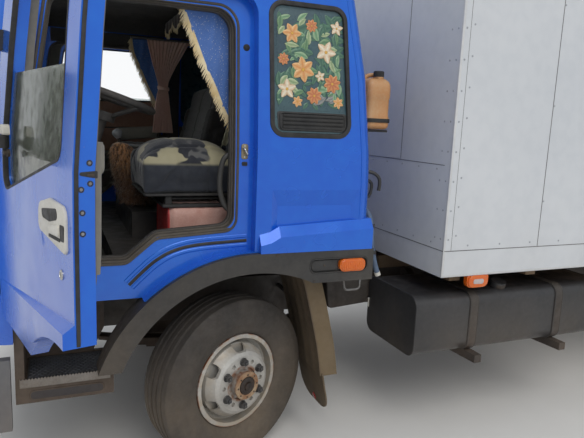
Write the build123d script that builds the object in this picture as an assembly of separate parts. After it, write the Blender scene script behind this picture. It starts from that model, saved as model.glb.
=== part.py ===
from build123d import *
import os
from math import cos, sin, radians

os.makedirs("parts", exist_ok=True)

# Medium cab-over box truck. Lengths are millimetres and angles are degrees.
# The model is laid out with x forward, y left, z up, x = 0 at the middle of the front wheel arch and
# z = 0 on the ground. Every piece is moved by ORIGIN_SHIFT as it is written, so that the finished
# part has its origin under the middle of its bounding box.

# Wheels, 17.5 inch rims
TYRE_R = 418.0
TYRE_WIDTH = 225.0
BEAD_R = 222.0
RIM_FLANGE_R = 235.5
RIM_HALF = 88.0
FLANGE_WALL = 12.0
WELL_R = 200.0
DISC_OFFSET = 128.0
DISC_WALL = 12.0
PAD_R = 140.0
HUB_BORE_R = 82.0
STUD_PCD = 222.25
STUD_COUNT = 6
HAND_HOLE_COUNT = 6
HAND_HOLE_R = 21.0
HAND_HOLE_RING_R = 176.0
HAND_HOLE_STRETCH = 13.0
DRUM_R = 188.0

# Axles and steering
FRONT_AXLE_X = 90.0
REAR_AXLE_X = -4160.0
KINGPIN_Y = 760.0
KINGPIN_R = 20.0
WHEEL_CENTRE_Y = 850.0
TWIN_FLANGE_Y = 830.0
STEER_AT_REST = 20.5
STEER_ARM = 150.0
TIE_ROD_R = 14.0
PIN_FIT = 0.05
RUN_GAP = 0.3

# Ladder frame
RAIL_OUTER_Y = 425.0
RAIL_FLANGE = 65.0
RAIL_WALL = 8.0
RAIL_BOTTOM = 580.0
RAIL_TOP = 800.0
RAIL_FRONT_X = 1100.0
RAIL_REAR_X = -6560.0
CROSS_DEPTH = 92.0
CROSS_WIDTH = 80.0
CROSS_XS = (-1300.0, -2600.0, -3500.0, -5000.0)
COUPLING_HOLE_R = 10.5
COUPLING_SPACING_Y = 160.0
COUPLING_SPACING_Z = 100.0
COUPLING_BORE_R = 30.0
TOW_BORE_R = 18.0
TOW_EYE_INSET = 125.0

# Springs
SPRING_INSET = 33.0
SPRING_Y = RAIL_OUTER_Y - SPRING_INSET
TOW_EYE_Y = RAIL_OUTER_Y - TOW_EYE_INSET
SPRING_WIDTH = 70.0
FRONT_SPRING_HALF = 640.0
REAR_SPRING_HALF = 700.0

# Cab
CAB_BOTTOM = 770.0
SIDE_WALL = 100.0
END_WALL = 45.0
ROOF_WALL = 45.0
SKIN_Y = 1064.0
SPLIT_Y = 860.0
FRONT_SPLIT_X = 1010.0
BELT_Z = 1420.0
GLASS_BOTTOM = 1485.0
GLASS_TOP = 2225.0
ROOF_SPLIT_Z = 2300.0
SILL_BOTTOM = 905.0
FOOT_FLOOR = 945.0
SEAT_FLOOR = 1050.0
FLOOR_WALL = 40.0
STEP_UP_X = 600.0
TUNNEL_HALF = 420.0
TUNNEL_TOP = 1190.0
TUNNEL_FRONT_X = 470.0
TILT_X = 1140.0
TILT_Z = 740.0
TILT_PIN_R = 18.0

# Wheel arch trim, a band of constant width around its own centre
ARCH_Z = 360.0
ARCH_INNER_R = 645.0
ARCH_OUTER_R = 735.0
ARCH_TRIM_BOTTOM = 940.0
SHELF_BOTTOM = ARCH_Z + ARCH_OUTER_R
TRIM_OUTER_Y = 1092.0
FLARE_Y = 1094.0

# Doors
DOOR_GAP = 8.0
DOOR_HINGE_X = 1025.0
DOOR_HINGE_Y = 1033.0
DOOR_OPEN = 75.7
DOOR_DEPTH = 54.0
REBATE_DEPTH = DOOR_DEPTH + 6.0
DOOR_FRONT_X = 990.0
DOOR_REAR_X = 8.0
HINGE_ZS = (1010.0, 1345.0)
HINGE_HALF = 32.0
HINGE_PIN_R = 10.0
HINGE_KNUCKLE_R = 17.0
HINGE_STRAP_HALF = 7.0
HINGE_EDGE_R = 52.0
DOOR_TOP = 2230.0
TRIM_DEPTH = 30.0
GLASS_LOWERED_TOP = 1815.0
GLASS_WALL = 5.0

# Box body
BOX_FRONT_X = -974.0
BOX_REAR_X = -6680.0
BOX_HALF = 1150.0
BOX_BOTTOM = 936.0
BOX_TOP = 3150.0
BOX_WALL = 50.0
BOX_FLOOR_TOP = 1060.0
REAR_POST = 70.0
REAR_FRAME_DEPTH = 80.0
REAR_DOOR_WALL = 40.0
REAR_DOOR_GAP = 5.0
REAR_HINGE_REACH = 40.0
REAR_DOOR_BOTTOM = 1000.0
REAR_DOOR_TOP = 3130.0
BEARER_BOTTOM = 880.0
REAR_HINGE_Y = BOX_HALF + REAR_HINGE_REACH

# Fuel tank
TANK_FRONT_X = -858.0
TANK_LENGTH = 1350.0
TANK_INNER_Y = 640.0
TANK_OUTER_Y = 1120.0
TANK_BOTTOM = 500.0
TANK_TOP = 825.0
TANK_EDGE_R = 60.0
STRAP_XS = (-1235.0, -1845.0)
STRAP_WIDTH = 45.0
STRAP_WALL = 5.0

# Distance from the layout origin to the middle of the bounding box, forward and to the left
ORIGIN_SHIFT = (2667.2, -317.9, 0.0)


def block(x, y, z):
    """A box between pairs of limits along each axis."""
    size = (x[1] - x[0], y[1] - y[0], z[1] - z[0])
    middle = ((x[0] + x[1]) / 2, (y[0] + y[1]) / 2, (z[0] + z[1]) / 2)
    return Pos(*middle) * Box(*size)


def placed(axis, a, b, level):
    """Turn a 2-D point of an outline into a 3-D one, on a plane across the given axis."""
    return {"x": Vector(level, a, b), "y": Vector(a, level, b), "z": Vector(a, b, level)}[axis]


def rounded_wire(axis, corners, level):
    """A closed wire through corners (a, b, radius), each rounded by a tangent arc."""
    points = [placed(axis, a, b, level) for a, b, _ in corners]
    count = len(points)
    starts, ends, middles = [], [], []
    for i, (_, _, radius) in enumerate(corners):
        here, before, after = points[i], points[i - 1], points[(i + 1) % count]
        back, ahead = (before - here).normalized(), (after - here).normalized()
        if radius == 0:
            starts.append(here)
            ends.append(here)
            middles.append(None)
            continue
        half = radians(back.get_angle(ahead)) / 2
        reach = radius * cos(half) / sin(half)
        bisector = (back + ahead).normalized()
        starts.append(here + back * reach)
        ends.append(here + ahead * reach)
        middles.append(here + bisector * (radius / sin(half) - radius))
    edges = []
    for i in range(count):
        if middles[i] is not None:
            edges.append(Edge.make_three_point_arc(starts[i], middles[i], ends[i]))
        following = starts[(i + 1) % count]
        if (following - ends[i]).length > 0.01:
            edges.append(Edge.make_line(ends[i], following))
    return Wire(edges)


def prism(axis, corners, low, high):
    """A rounded outline pushed along an axis from low to high."""
    face = Face(rounded_wire(axis, corners, low))
    direction = {"x": (1, 0, 0), "y": (0, 1, 0), "z": (0, 0, 1)}[axis]
    return extrude(face, amount=high - low, dir=direction)


def rod(start, end, radius):
    """A round bar between two points."""
    a, b = Vector(*start), Vector(*end)
    direction = b - a
    plane = Plane(origin=a, z_dir=direction)
    return extrude(plane * Circle(radius), amount=direction.length)


def mirrored(shape):
    """The same shape on the right-hand side of the truck."""
    return mirror(shape, about=Plane.XZ)


def both(shape):
    """A left-hand shape with its right-hand twin."""
    return shape + mirrored(shape)


def spun(profile, centre_y):
    """Revolve a profile of (radius, offset from centre_y) about a lateral axis through the origin."""
    points = [(0, centre_y + offset, radius) for radius, offset in profile]
    face = Face(Wire.make_polygon([Vector(*p) for p in points], close=True))
    return revolve(face, Axis((0, 0, 0), (0, 1, 0)), 360)


def about_vertical(shape, x, y, angle):
    """Turn a shape about a vertical line."""
    return Pos(x, y, 0) * Rot(0, 0, angle) * Pos(-x, -y, 0) * shape


def write(name, shape):
    """Write one piece, moved to the part's own origin."""
    export_step(Pos(*ORIGIN_SHIFT) * shape, f"parts/{name}.step")


# Cab outer form: level, rear x, front x, half width, front corner radius
CAB_ROWS = (
    (770.0, -592.0, 1200.0, 1064.0, 160.0),
    (1400.0, -592.0, 1190.0, 1064.0, 160.0),
    (1550.0, -585.0, 1166.0, 1062.0, 160.0),
    (1900.0, -555.0, 1110.0, 1037.0, 150.0),
    (2260.0, -490.0, 1052.0, 1004.0, 140.0),
    (2350.0, -440.0, 990.0, 955.0, 130.0),
    (2400.0, -360.0, 900.0, 880.0, 120.0),
    (2425.0, -240.0, 780.0, 760.0, 110.0),
)
CAB_REAR_CORNER = 70.0
FRONT_BOW = 30.0
ROOF_ROWS_FROM = 2260.0


def cab_section(level, rear, front, half, corner, side, end):
    """One level of the cab's form, set in by side at the flanks and by end at the front and rear."""
    rear_x, front_x, y = rear + end, front - end, half - side
    front_r, rear_r = max(corner - side, 25.0), max(CAB_REAR_CORNER - end, 15.0)
    shoulder_x = front_x - FRONT_BOW
    arc = cos(radians(45))
    p = {
        "rear_right": Vector(rear_x, -y + rear_r, level),
        "rear_left": Vector(rear_x, y - rear_r, level),
        "left_rear": Vector(rear_x + rear_r, y, level),
        "left_front": Vector(shoulder_x - front_r, y, level),
        "front_left": Vector(shoulder_x, y - front_r, level),
        "nose": Vector(front_x, 0, level),
        "front_right": Vector(shoulder_x, -y + front_r, level),
        "right_front": Vector(shoulder_x - front_r, -y, level),
        "right_rear": Vector(rear_x + rear_r, -y, level),
    }
    rear_mid = rear_r * (1 - arc)
    front_mid = front_r * (1 - arc)
    left_rear_mid = Vector(rear_x + rear_mid, y - rear_mid, level)
    right_rear_mid = Vector(rear_x + rear_mid, -y + rear_mid, level)
    left_front_mid = Vector(shoulder_x - front_mid, y - front_mid, level)
    right_front_mid = Vector(shoulder_x - front_mid, -y + front_mid, level)
    return Wire([
        Edge.make_line(p["rear_right"], p["rear_left"]),
        Edge.make_three_point_arc(p["rear_left"], left_rear_mid, p["left_rear"]),
        Edge.make_line(p["left_rear"], p["left_front"]),
        Edge.make_three_point_arc(p["left_front"], left_front_mid, p["front_left"]),
        Edge.make_three_point_arc(p["front_left"], p["nose"], p["front_right"]),
        Edge.make_three_point_arc(p["front_right"], right_front_mid, p["right_front"]),
        Edge.make_line(p["right_front"], p["right_rear"]),
        Edge.make_three_point_arc(p["right_rear"], right_rear_mid, p["rear_right"]),
    ])


def cab_form(side, end, roof):
    """The cab's outer form, set in by a wall at the flanks, the ends and the roof."""
    wires = []
    for level, rear, front, half, corner in CAB_ROWS:
        drop = roof if level > ROOF_ROWS_FROM else 0.0
        wires.append(cab_section(level - drop, rear, front, half, corner, side, end))
    return Solid.make_loft(wires, ruled=True)


def door_outline(shrink):
    """Closed door seen from the side: its rear lower edge follows the wheel arch."""
    front, rear, top = DOOR_FRONT_X - shrink, DOOR_REAR_X + shrink, DOOR_TOP - shrink
    bottom, radius = SILL_BOTTOM + shrink, ARCH_OUTER_R + 5.0 + shrink
    rake_z, rake = 1670.0, 0.16
    body = prism("y", [
        (rear, bottom, 0.0), (front, bottom, 40.0), (front, rake_z, 0.0),
        (front - rake * (top - rake_z), top, 60.0), (rear, top, 90.0)], 800.0, 1200.0)
    return body - rod((0, 700, ARCH_Z), (0, 1300, ARCH_Z), radius)


# The doorway's sill from the rear corner forwards: x, z and corner radius.
SILL_LINE = ((92.0, 1202.0, 60.0), (440.0, 1178.0, 70.0), (565.0, 1072.0, 50.0))
DOORWAY_FRONT_X = 925.0


def opening_outline(shrink):
    """The clear doorway inside the rebate: its sill drops in front of the wheel arch."""
    front, rear, top = DOORWAY_FRONT_X - shrink, SILL_LINE[0][0] + shrink, 2165.0 - shrink
    rake_z, rake, toe = 1660.0, 0.16, SILL_LINE[-1][1] + shrink
    sill = [(rear, SILL_LINE[0][1] + shrink, SILL_LINE[0][2])]
    sill += [(x, z + shrink, r) for x, z, r in SILL_LINE[1:]]
    return prism("y", sill + [
        (front, toe, 60.0), (front, rake_z, 0.0),
        (front - rake * (top - rake_z), top, 70.0), (rear, top, 90.0)], 700.0, 1200.0)


def window_outline(shrink):
    """Door window: the belt falls towards the front."""
    return prism("y", [
        (118.0 + shrink, 1572.0 + shrink, 45.0), (838.0 - shrink, 1405.0 + shrink, 55.0),
        (838.0 - shrink, 1640.0, 0.0), (756.0 - shrink, 2150.0 - shrink, 60.0),
        (118.0 + shrink, 2150.0 - shrink, 70.0)], 800.0, 1200.0)


def quarter_outline(shrink):
    """Rear quarter window in the cab side."""
    return prism("y", [
        (-62.0 - shrink, 1633.0 + shrink, 55.0), (-446.0 + shrink, 1633.0 + shrink, 55.0),
        (-408.0 + shrink, 2205.0 - shrink, 55.0), (-50.0 - shrink, 2205.0 - shrink, 55.0)],
        800.0, 1200.0)


outer = cab_form(0.0, 0.0, 0.0)
inner = cab_form(SIDE_WALL, END_WALL, ROOF_WALL)
rebate_form = cab_form(REBATE_DEPTH, REBATE_DEPTH, REBATE_DEPTH)
door_form = cab_form(DOOR_DEPTH, DOOR_DEPTH, DOOR_DEPTH)
trim_form = cab_form(DOOR_DEPTH + TRIM_DEPTH, DOOR_DEPTH + TRIM_DEPTH, DOOR_DEPTH + TRIM_DEPTH)
shell = outer - inner
arch_cut = rod((0, 700, ARCH_Z), (0, 1300, ARCH_Z), ARCH_OUTER_R)
door_block = door_outline(0.0)
doorway = opening_outline(0.0)
side_zone = (block((-700, FRONT_SPLIT_X), (SPLIT_Y, 1200), (SILL_BOTTOM, BELT_Z))
             + block((-700, 1300), (SPLIT_Y, 1200), (BELT_Z, ROOF_SPLIT_Z)))


# Cab sides with rebated doorways, shelf flares and quarter windows. Columns of the shelf: x, top
SHELF_TOPS = ((-12.0, 1178.0), (-64.0, 1190.0), (-106.0, 1214.0), (-588.0, 1242.0))
SHELF_FALL = 46.0
RECESS_DEPTH = 20.0
RECESS_Z = (1382.0, 1150.0)
RECESS_X = (-68.0, -520.0)
RECESS_FALL = 76.0
RECESS_RUN = 34.0


def shelf_flare():
    """The raised shelf behind the door, with a sloped top, running into the rear corner."""
    wires = []
    for x, top in SHELF_TOPS:
        wires.append(Wire.make_polygon([
            Vector(x, SKIN_Y - SIDE_WALL, SHELF_BOTTOM), Vector(x, FLARE_Y, SHELF_BOTTOM),
            Vector(x, FLARE_Y, top - SHELF_FALL), Vector(x, SKIN_Y, top),
            Vector(x, SKIN_Y - SIDE_WALL, top)], close=True))
    return Solid.make_loft(wires, ruled=True)


def side_recess():
    """The sunk field above the shelf, with sloped walls at its top and ends."""
    floor_y, mouth = SKIN_Y - RECESS_DEPTH, SKIN_Y + 40.0
    top, bottom = RECESS_Z
    front, rear = RECESS_X
    upright = prism("x", [
        (mouth, top + 40, 0.0), (SKIN_Y, top, 0.0), (floor_y, top - RECESS_FALL, 0.0), (floor_y, bottom, 0.0),
        (mouth, bottom, 0.0)], rear - 60, front + 60)
    level = prism("z", [
        (front + RECESS_RUN, mouth, 0.0), (front, SKIN_Y, 0.0), (front - RECESS_RUN, floor_y, 0.0),
        (rear + RECESS_RUN, floor_y, 0.0), (rear, SKIN_Y, 0.0), (rear - RECESS_RUN, mouth, 0.0)], bottom, top + 60)
    return upright & level


hinge_notches = None
hinge_pins = None
for z in HINGE_ZS:
    notch = block((DOOR_FRONT_X - 1, DOOR_HINGE_X + 25), (DOOR_HINGE_Y - 26, 1200), (z - HINGE_HALF, z + HINGE_HALF))
    pin = rod((DOOR_HINGE_X, DOOR_HINGE_Y, z - HINGE_HALF), (DOOR_HINGE_X, DOOR_HINGE_Y, z + HINGE_HALF), HINGE_PIN_R)
    hinge_notches = notch if hinge_notches is None else hinge_notches + notch
    hinge_pins = pin if hinge_pins is None else hinge_pins + pin

left_side = shell & side_zone
left_side -= hinge_notches
left_side -= arch_cut
left_side -= block((-700, 0), (SPLIT_Y, 1200), (0, SHELF_BOTTOM))
left_side -= door_block - rebate_form
left_side -= doorway
left_side -= quarter_outline(0.0)
left_side -= side_recess()
left_side += shelf_flare()
write("cab_left_side", left_side)
write("cab_right_side", mirrored(left_side))

# Cab end panels and roof
front_zone = (block((FRONT_SPLIT_X, 1300), (-1200, 1200), (CAB_BOTTOM, BELT_Z))
              + block((900, 1300), (-SPLIT_Y, SPLIT_Y), (BELT_Z - 1, GLASS_BOTTOM)))
write("cab_front_panel", (shell & front_zone) - both(hinge_notches) + both(hinge_pins))

roof_zone = (block((-700, 1300), (-1200, 1200), (ROOF_SPLIT_Z, 2500))
             + block((600, 1300), (-SPLIT_Y, SPLIT_Y), (GLASS_TOP, ROOF_SPLIT_Z + 1)))
write("cab_roof", shell & roof_zone)

REAR_WALL_BOTTOM = 1010.0
rear_wall = shell & block((-700, -400), (-SPLIT_Y, SPLIT_Y), (REAR_WALL_BOTTOM, ROOF_SPLIT_Z))
write("cab_rear_wall", rear_wall)

# Cab glass
GLASS_INSET = 16.0
GLASS_SHEET = 8.0
glass_band = cab_form(0.0, GLASS_INSET, 0.0) - cab_form(0.0, GLASS_INSET + GLASS_SHEET, 0.0)
windscreen = glass_band & block((600, 1300), (-SPLIT_Y, SPLIT_Y), (GLASS_BOTTOM, GLASS_TOP))
write("windscreen", windscreen)

QUARTER_SET_IN = 6.0
QUARTER_PANEL = 14.0
quarter_band = (cab_form(QUARTER_SET_IN, 0.0, 0.0) - cab_form(QUARTER_SET_IN + QUARTER_PANEL, 0.0, 0.0))
quarter_window = quarter_band & quarter_outline(RUN_GAP)
write("quarter_windows", both(quarter_window))

# Wheel arch trims with their lamp pockets
TRIM_INNER_Y = SKIN_Y - SIDE_WALL
TRIM_REAR_X = -600.0
TRIM_FRONT_Z = 605.0
ring = (rod((0, TRIM_INNER_Y, ARCH_Z), (0, TRIM_OUTER_Y, ARCH_Z), ARCH_OUTER_R - RUN_GAP)
        & block((0, 900), (900, 1200), (TRIM_FRONT_Z, 1200)))
rear_bar = block((TRIM_REAR_X, 0), (TRIM_INNER_Y, TRIM_OUTER_Y), (ARCH_TRIM_BOTTOM, SHELF_BOTTOM - RUN_GAP))
LAMP_POCKET = [(-258.0, 984.0, 30.0), (-572.0, 984.0, 30.0), (-572.0, 1060.0, 30.0), (-258.0, 1060.0, 30.0)]
POCKET_DEPTH = 14.0
arch_trim = ring + rear_bar - rod((0, 900, ARCH_Z), (0, 1200, ARCH_Z), ARCH_INNER_R)
arch_trim -= prism("y", LAMP_POCKET, TRIM_OUTER_Y - POCKET_DEPTH, TRIM_OUTER_Y + 20)
write("arch_trims", both(arch_trim))

SIDE_LAMP = [(-414.0, 990.0, 26.0), (-552.0, 990.0, 26.0), (-552.0, 1052.0, 26.0), (-414.0, 1052.0, 26.0)]
side_lamp = prism("y", SIDE_LAMP, TRIM_OUTER_Y - POCKET_DEPTH, TRIM_OUTER_Y + 8)
write("cab_side_lamps", both(side_lamp))

# Cab floor with the engine tunnel, the tilt lugs and the rise under the seats
TUNNEL_WALL = 30.0
LUG_Y = (RAIL_OUTER_Y + 21.0, RAIL_OUTER_Y + 65.0)
LUG_R = 30.0
floor_y = SKIN_Y - SIDE_WALL
FLOOR_PLAN = [
    (CAB_ROWS[0][1] + END_WALL, -floor_y, 20.0), (1105.0, -floor_y, 50.0), (1140.0, -500.0, 0.0),
    (1140.0, 500.0, 0.0), (1105.0, floor_y, 50.0), (CAB_ROWS[0][1] + END_WALL, floor_y, 20.0)]
floor = block((STEP_UP_X, 1180), (-1000, 1000), (SILL_BOTTOM, FOOT_FLOOR))
floor += block((STEP_UP_X - FLOOR_WALL, STEP_UP_X), (-1000, 1000), (SILL_BOTTOM, SEAT_FLOOR))
floor += block((-600, STEP_UP_X), (-1000, 1000), (SEAT_FLOOR - FLOOR_WALL, SEAT_FLOOR))
floor += block((-600, TUNNEL_FRONT_X), (-TUNNEL_HALF, TUNNEL_HALF), (SEAT_FLOOR - FLOOR_WALL, TUNNEL_TOP))
floor -= block((-700, TUNNEL_FRONT_X - TUNNEL_WALL), (-TUNNEL_HALF + TUNNEL_WALL, TUNNEL_HALF - TUNNEL_WALL),
               (800, TUNNEL_TOP - TUNNEL_WALL))
floor &= prism("z", FLOOR_PLAN, 800.0, 1300.0)
lug = (block((TILT_X - LUG_R, TILT_X), LUG_Y, (TILT_Z, SILL_BOTTOM))
       + rod((TILT_X, LUG_Y[0], TILT_Z), (TILT_X, LUG_Y[1], TILT_Z), LUG_R)
       - rod((TILT_X, LUG_Y[0] - 5, TILT_Z), (TILT_X, LUG_Y[1] + 5, TILT_Z), TILT_PIN_R + PIN_FIT))
write("cab_floor", floor + both(lug))

# Entry steps in their wells, under the front of each doorway
STEP_X = (625.0, 1010.0)
STEP_Y = (780.0, 1040.0)
STEP_TREAD_TOP = 600.0
STEP_BOTTOM = 500.0
STEP_WALL = 14.0
step = block(STEP_X, STEP_Y, (STEP_TREAD_TOP - 20, STEP_TREAD_TOP))
step += block(STEP_X, (STEP_Y[1] - STEP_WALL, STEP_Y[1]), (STEP_BOTTOM, STEP_TREAD_TOP))
step += block((STEP_X[1] - 35, STEP_X[1]), STEP_Y, (STEP_BOTTOM, SILL_BOTTOM))
step += block((STEP_X[0] + 20, STEP_X[1]), (STEP_Y[0], STEP_Y[0] + STEP_WALL), (STEP_BOTTOM, SILL_BOTTOM))
step -= (rod((0, 700, ARCH_Z), (0, 1200, ARCH_Z), ARCH_OUTER_R + RUN_GAP)
         & block((0, 1000), (700, 1200), (TRIM_FRONT_Z - RUN_GAP, 1100)))
write("cab_steps", both(step))

# Dashboard with the instrument hood and the steering column
DASH_RADIUS = 40.0
dash = prism("y", [
    (1170.0, 1120.0, 0.0), (1170.0, 1440.0, 0.0), (1000.0, 1450.0, 0.0), (880.0, 1405.0, DASH_RADIUS),
    (850.0, 1270.0, DASH_RADIUS), (970.0, 1120.0, 0.0)], -1000, 1000)
dash += prism("y", [
    (1060.0, 1430.0, 0.0), (1060.0, 1520.0, 30.0), (850.0, 1500.0, 30.0), (870.0, 1400.0, 0.0)], 340, 780)
WHEEL_AXIS = Vector(-0.304, 0.0, 0.953).normalized()
WHEEL_MIDDLE = Vector(595.0, 550.0, 1775.0)
WHEEL_RIM_R = 215.0
WHEEL_TUBE_R = 16.0
WHEEL_DISH = 75.0
hub_point = WHEEL_MIDDLE - WHEEL_AXIS * WHEEL_DISH
COLUMN_R = 30.0
HUB_LENGTH = 40.0
column_top = hub_point - WHEEL_AXIS * (HUB_LENGTH + RUN_GAP)
column_foot = column_top - WHEEL_AXIS * ((column_top.Z - FOOT_FLOOR - 10.0) / WHEEL_AXIS.Z)
shroud = prism("y", [
    (860.0, 1290.0, 0.0), (860.0, 1440.0, 0.0), (640.0, 1560.0, 20.0), (620.0, 1500.0, 20.0),
    (720.0, 1290.0, 20.0)], 490, 610)
dashboard = (dash & inner) + shroud + rod(column_foot, column_top, COLUMN_R)
write("dashboard", dashboard)

SPOKE_COUNT = 4
SPOKE_R = 9.0
HUB_R = 62.0
steering_wheel = Torus(WHEEL_RIM_R, WHEEL_TUBE_R)
steering_wheel += Pos(0, 0, -WHEEL_DISH - HUB_LENGTH / 2) * Cylinder(HUB_R, HUB_LENGTH)
for i in range(SPOKE_COUNT):
    spoke = rod((HUB_R - 20, 0, -WHEEL_DISH - HUB_LENGTH / 2), (WHEEL_RIM_R, 0, 0), SPOKE_R)
    steering_wheel += Rot(0, 0, 360.0 * (i + 0.5) / SPOKE_COUNT) * spoke
steering_wheel = Plane(origin=WHEEL_MIDDLE, x_dir=(0, 1, 0), z_dir=WHEEL_AXIS) * steering_wheel
write("steering_wheel", steering_wheel)

# Seats on their plinths. Columns: name, cushion y limits, cushion top, back top
SEATS = (
    ("driver_seat", (310.0, 820.0), 1555.0, 2040.0),
    ("passenger_seat", (-890.0, -120.0), 1500.0, 1960.0),
)
CUSHION_X = (10.0, 480.0)
CUSHION_DEPTH = 210.0
for name, seat_y, cushion_top, back_top in SEATS:
    cushion_bottom = cushion_top - CUSHION_DEPTH
    plinth_y = (max(seat_y[0], TUNNEL_HALF) + 20, seat_y[1] - 40) if seat_y[0] > 0 else (seat_y[0] + 40, -440)
    seat = prism("y", [
        (CUSHION_X[0], cushion_bottom, 30.0), (CUSHION_X[1], cushion_bottom + 20, 50.0),
        (CUSHION_X[1], cushion_top, 60.0), (CUSHION_X[0], cushion_top - 30, 20.0)], *seat_y)
    seat += prism("y", [
        (CUSHION_X[0] - 130, cushion_bottom + 20, 30.0), (CUSHION_X[0], cushion_bottom + 20, 0.0),
        (CUSHION_X[0], cushion_top - 20, 0.0), (-90.0, back_top, 45.0), (-190.0, back_top, 45.0)],
        seat_y[0] + 10, seat_y[1] - 10)
    seat += block((CUSHION_X[0] + 40, CUSHION_X[1] - 80), plinth_y, (SEAT_FLOOR, cushion_bottom + 12))
    write(name, seat)

BUNK_Y = 945.0
bunk = block((-600, -215), (-BUNK_Y, BUNK_Y), (TUNNEL_TOP, 1300))
bunk += prism("y", [(-600.0, 1300.0, 0.0), (-210.0, 1300.0, 30.0), (-210.0, 1420.0, 40.0), (-600.0, 1420.0, 0.0)],
              -BUNK_Y + 10, BUNK_Y - 10)
for leg_y in (-BUNK_Y + 20, BUNK_Y - 80):
    bunk += block((-560, -235), (leg_y, leg_y + 60), (SEAT_FLOOR, 1191))
write("bunk", bunk & inner)

GEAR_FOOT = Vector(400.0, 160.0, TUNNEL_TOP)
GEAR_KNOB = Vector(515.0, 160.0, 1585.0)
gaiter_top = GEAR_FOOT + (GEAR_KNOB - GEAR_FOOT) * 0.62
gaiter = Solid.make_loft([
    Wire.make_circle(75.0, Plane(origin=GEAR_FOOT, z_dir=(0, 0, 1))),
    Wire.make_circle(28.0, Plane(origin=gaiter_top, z_dir=(0, 0, 1)))], ruled=True)
gear_lever = gaiter + rod(gaiter_top - Vector(0, 0, 10), GEAR_KNOB, 10.0) + Pos(*GEAR_KNOB) * Sphere(28.0)
write("gear_lever", gear_lever)

# Curtains, plain outlines hung from a rail above each doorway, and a valance across the cab
CURTAIN_TOP = 2230.0
fringed = prism("y", [
    (310.0, CURTAIN_TOP, 0.0), (62.0, CURTAIN_TOP, 0.0), (62.0, 1640.0, 0.0), (105.0, 1690.0, 0.0),
    (190.0, 1900.0, 0.0)], 866, 888)
gathered = prism("y", [
    (-100.0, CURTAIN_TOP, 0.0), (215.0, CURTAIN_TOP, 0.0), (125.0, 1900.0, 0.0), (165.0, 1580.0, 0.0),
    (15.0, 1580.0, 0.0), (55.0, 1900.0, 0.0)], 815, 860)
rail = block((-110, 320), (815, 1000), (CURTAIN_TOP, CURTAIN_TOP + 12)) & inner
valance = block((100, 116), (-700, 700), (2215, 2500)) & inner
write("curtains", both(fringed + gathered + rail) + valance)

# Spare fuel can on a shelf bracket behind the cab
CAN_X = (-752.0, -612.0)
CAN_Y = (700.0, 922.0)
CAN_BASE = 1672.0
can = prism("z", [
    (CAN_X[0], CAN_Y[0], 30.0), (CAN_X[1], CAN_Y[0], 30.0), (CAN_X[1], CAN_Y[1], 30.0), (CAN_X[0], CAN_Y[1], 30.0)],
    CAN_BASE, CAN_BASE + 262)
can += rod((-700, 860, CAN_BASE + 255), (-700, 860, CAN_BASE + 292), 24)
shelf = block((CAN_X[0], -540), (CAN_Y[0] + 20, CAN_Y[1] - 20), (CAN_BASE - 14, CAN_BASE))
shelf += block((-620, -540), (CAN_Y[0] + 60, CAN_Y[0] + 90), (CAN_BASE - 120, CAN_BASE - 10))
write("jerrycan", can + (shelf - outer))


# Doors. Columns of the flare: x, crease z, lip z, lip y, bottom z
FLARE_SECTIONS = (
    (DOOR_REAR_X, 1170.0, 1150.0, FLARE_Y, 1060.0),
    (930.0, 1062.0, 1060.0, SKIN_Y + 1.0, 905.0),
)


def door_flare():
    """A wedge along the foot of the door that grows towards the rear."""
    wires = []
    for x, crease, lip, lip_y, bottom in FLARE_SECTIONS:
        wires.append(Wire.make_polygon([
            Vector(x, SKIN_Y - DOOR_DEPTH, bottom), Vector(x, SKIN_Y - DOOR_DEPTH, crease),
            Vector(x, SKIN_Y, crease), Vector(x, lip_y, lip), Vector(x, lip_y, bottom)], close=True))
    return Solid.make_loft(wires, ruled=True)


leaf_outline = door_outline(DOOR_GAP)
leaf = (outer - door_form) & leaf_outline
leaf += door_flare() & leaf_outline
leaf -= window_outline(0.0)
leaf -= rod((DOOR_HINGE_X, DOOR_HINGE_Y, SILL_BOTTOM), (DOOR_HINGE_X, DOOR_HINGE_Y, DOOR_TOP), HINGE_EDGE_R)
for z in HINGE_ZS:
    strap_z = (z - HINGE_HALF + 6, z + HINGE_HALF - 6)
    hinge_at = (DOOR_HINGE_X, DOOR_HINGE_Y)
    leaf += block((DOOR_HINGE_X - HINGE_EDGE_R - 25, DOOR_HINGE_X),
                  (DOOR_HINGE_Y - HINGE_STRAP_HALF, DOOR_HINGE_Y + HINGE_STRAP_HALF), strap_z)
    leaf += rod((*hinge_at, strap_z[0]), (*hinge_at, strap_z[1]), HINGE_KNUCKLE_R)
    leaf -= rod((*hinge_at, strap_z[0] - 5), (*hinge_at, strap_z[1] + 5), HINGE_PIN_R + PIN_FIT)
HANDLE_CUP = [(72.0, 1336.0, 26.0), (302.0, 1312.0, 26.0), (322.0, 1374.0, 26.0), (76.0, 1420.0, 26.0)]
leaf -= prism("y", HANDLE_CUP, SKIN_Y - 34, SKIN_Y + 20)
leaf += prism("y", [(x, z, 0.0) for x, z in ((150, 1345), (160, 1388), (215, 1380), (205, 1338))],
              SKIN_Y - 34, SKIN_Y - 4)
trim_panel = (door_form - trim_form) & opening_outline(DOOR_GAP)
trim_panel -= window_outline(-14.0)
glass = (cab_form(24.0, 24.0, 24.0) - cab_form(24.0 + GLASS_WALL, 24.0 + GLASS_WALL, 24.0 + GLASS_WALL))
door_glass = glass & window_outline(RUN_GAP) & block((0, 1000), (800, 1200), (1300, GLASS_LOWERED_TOP))

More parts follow.
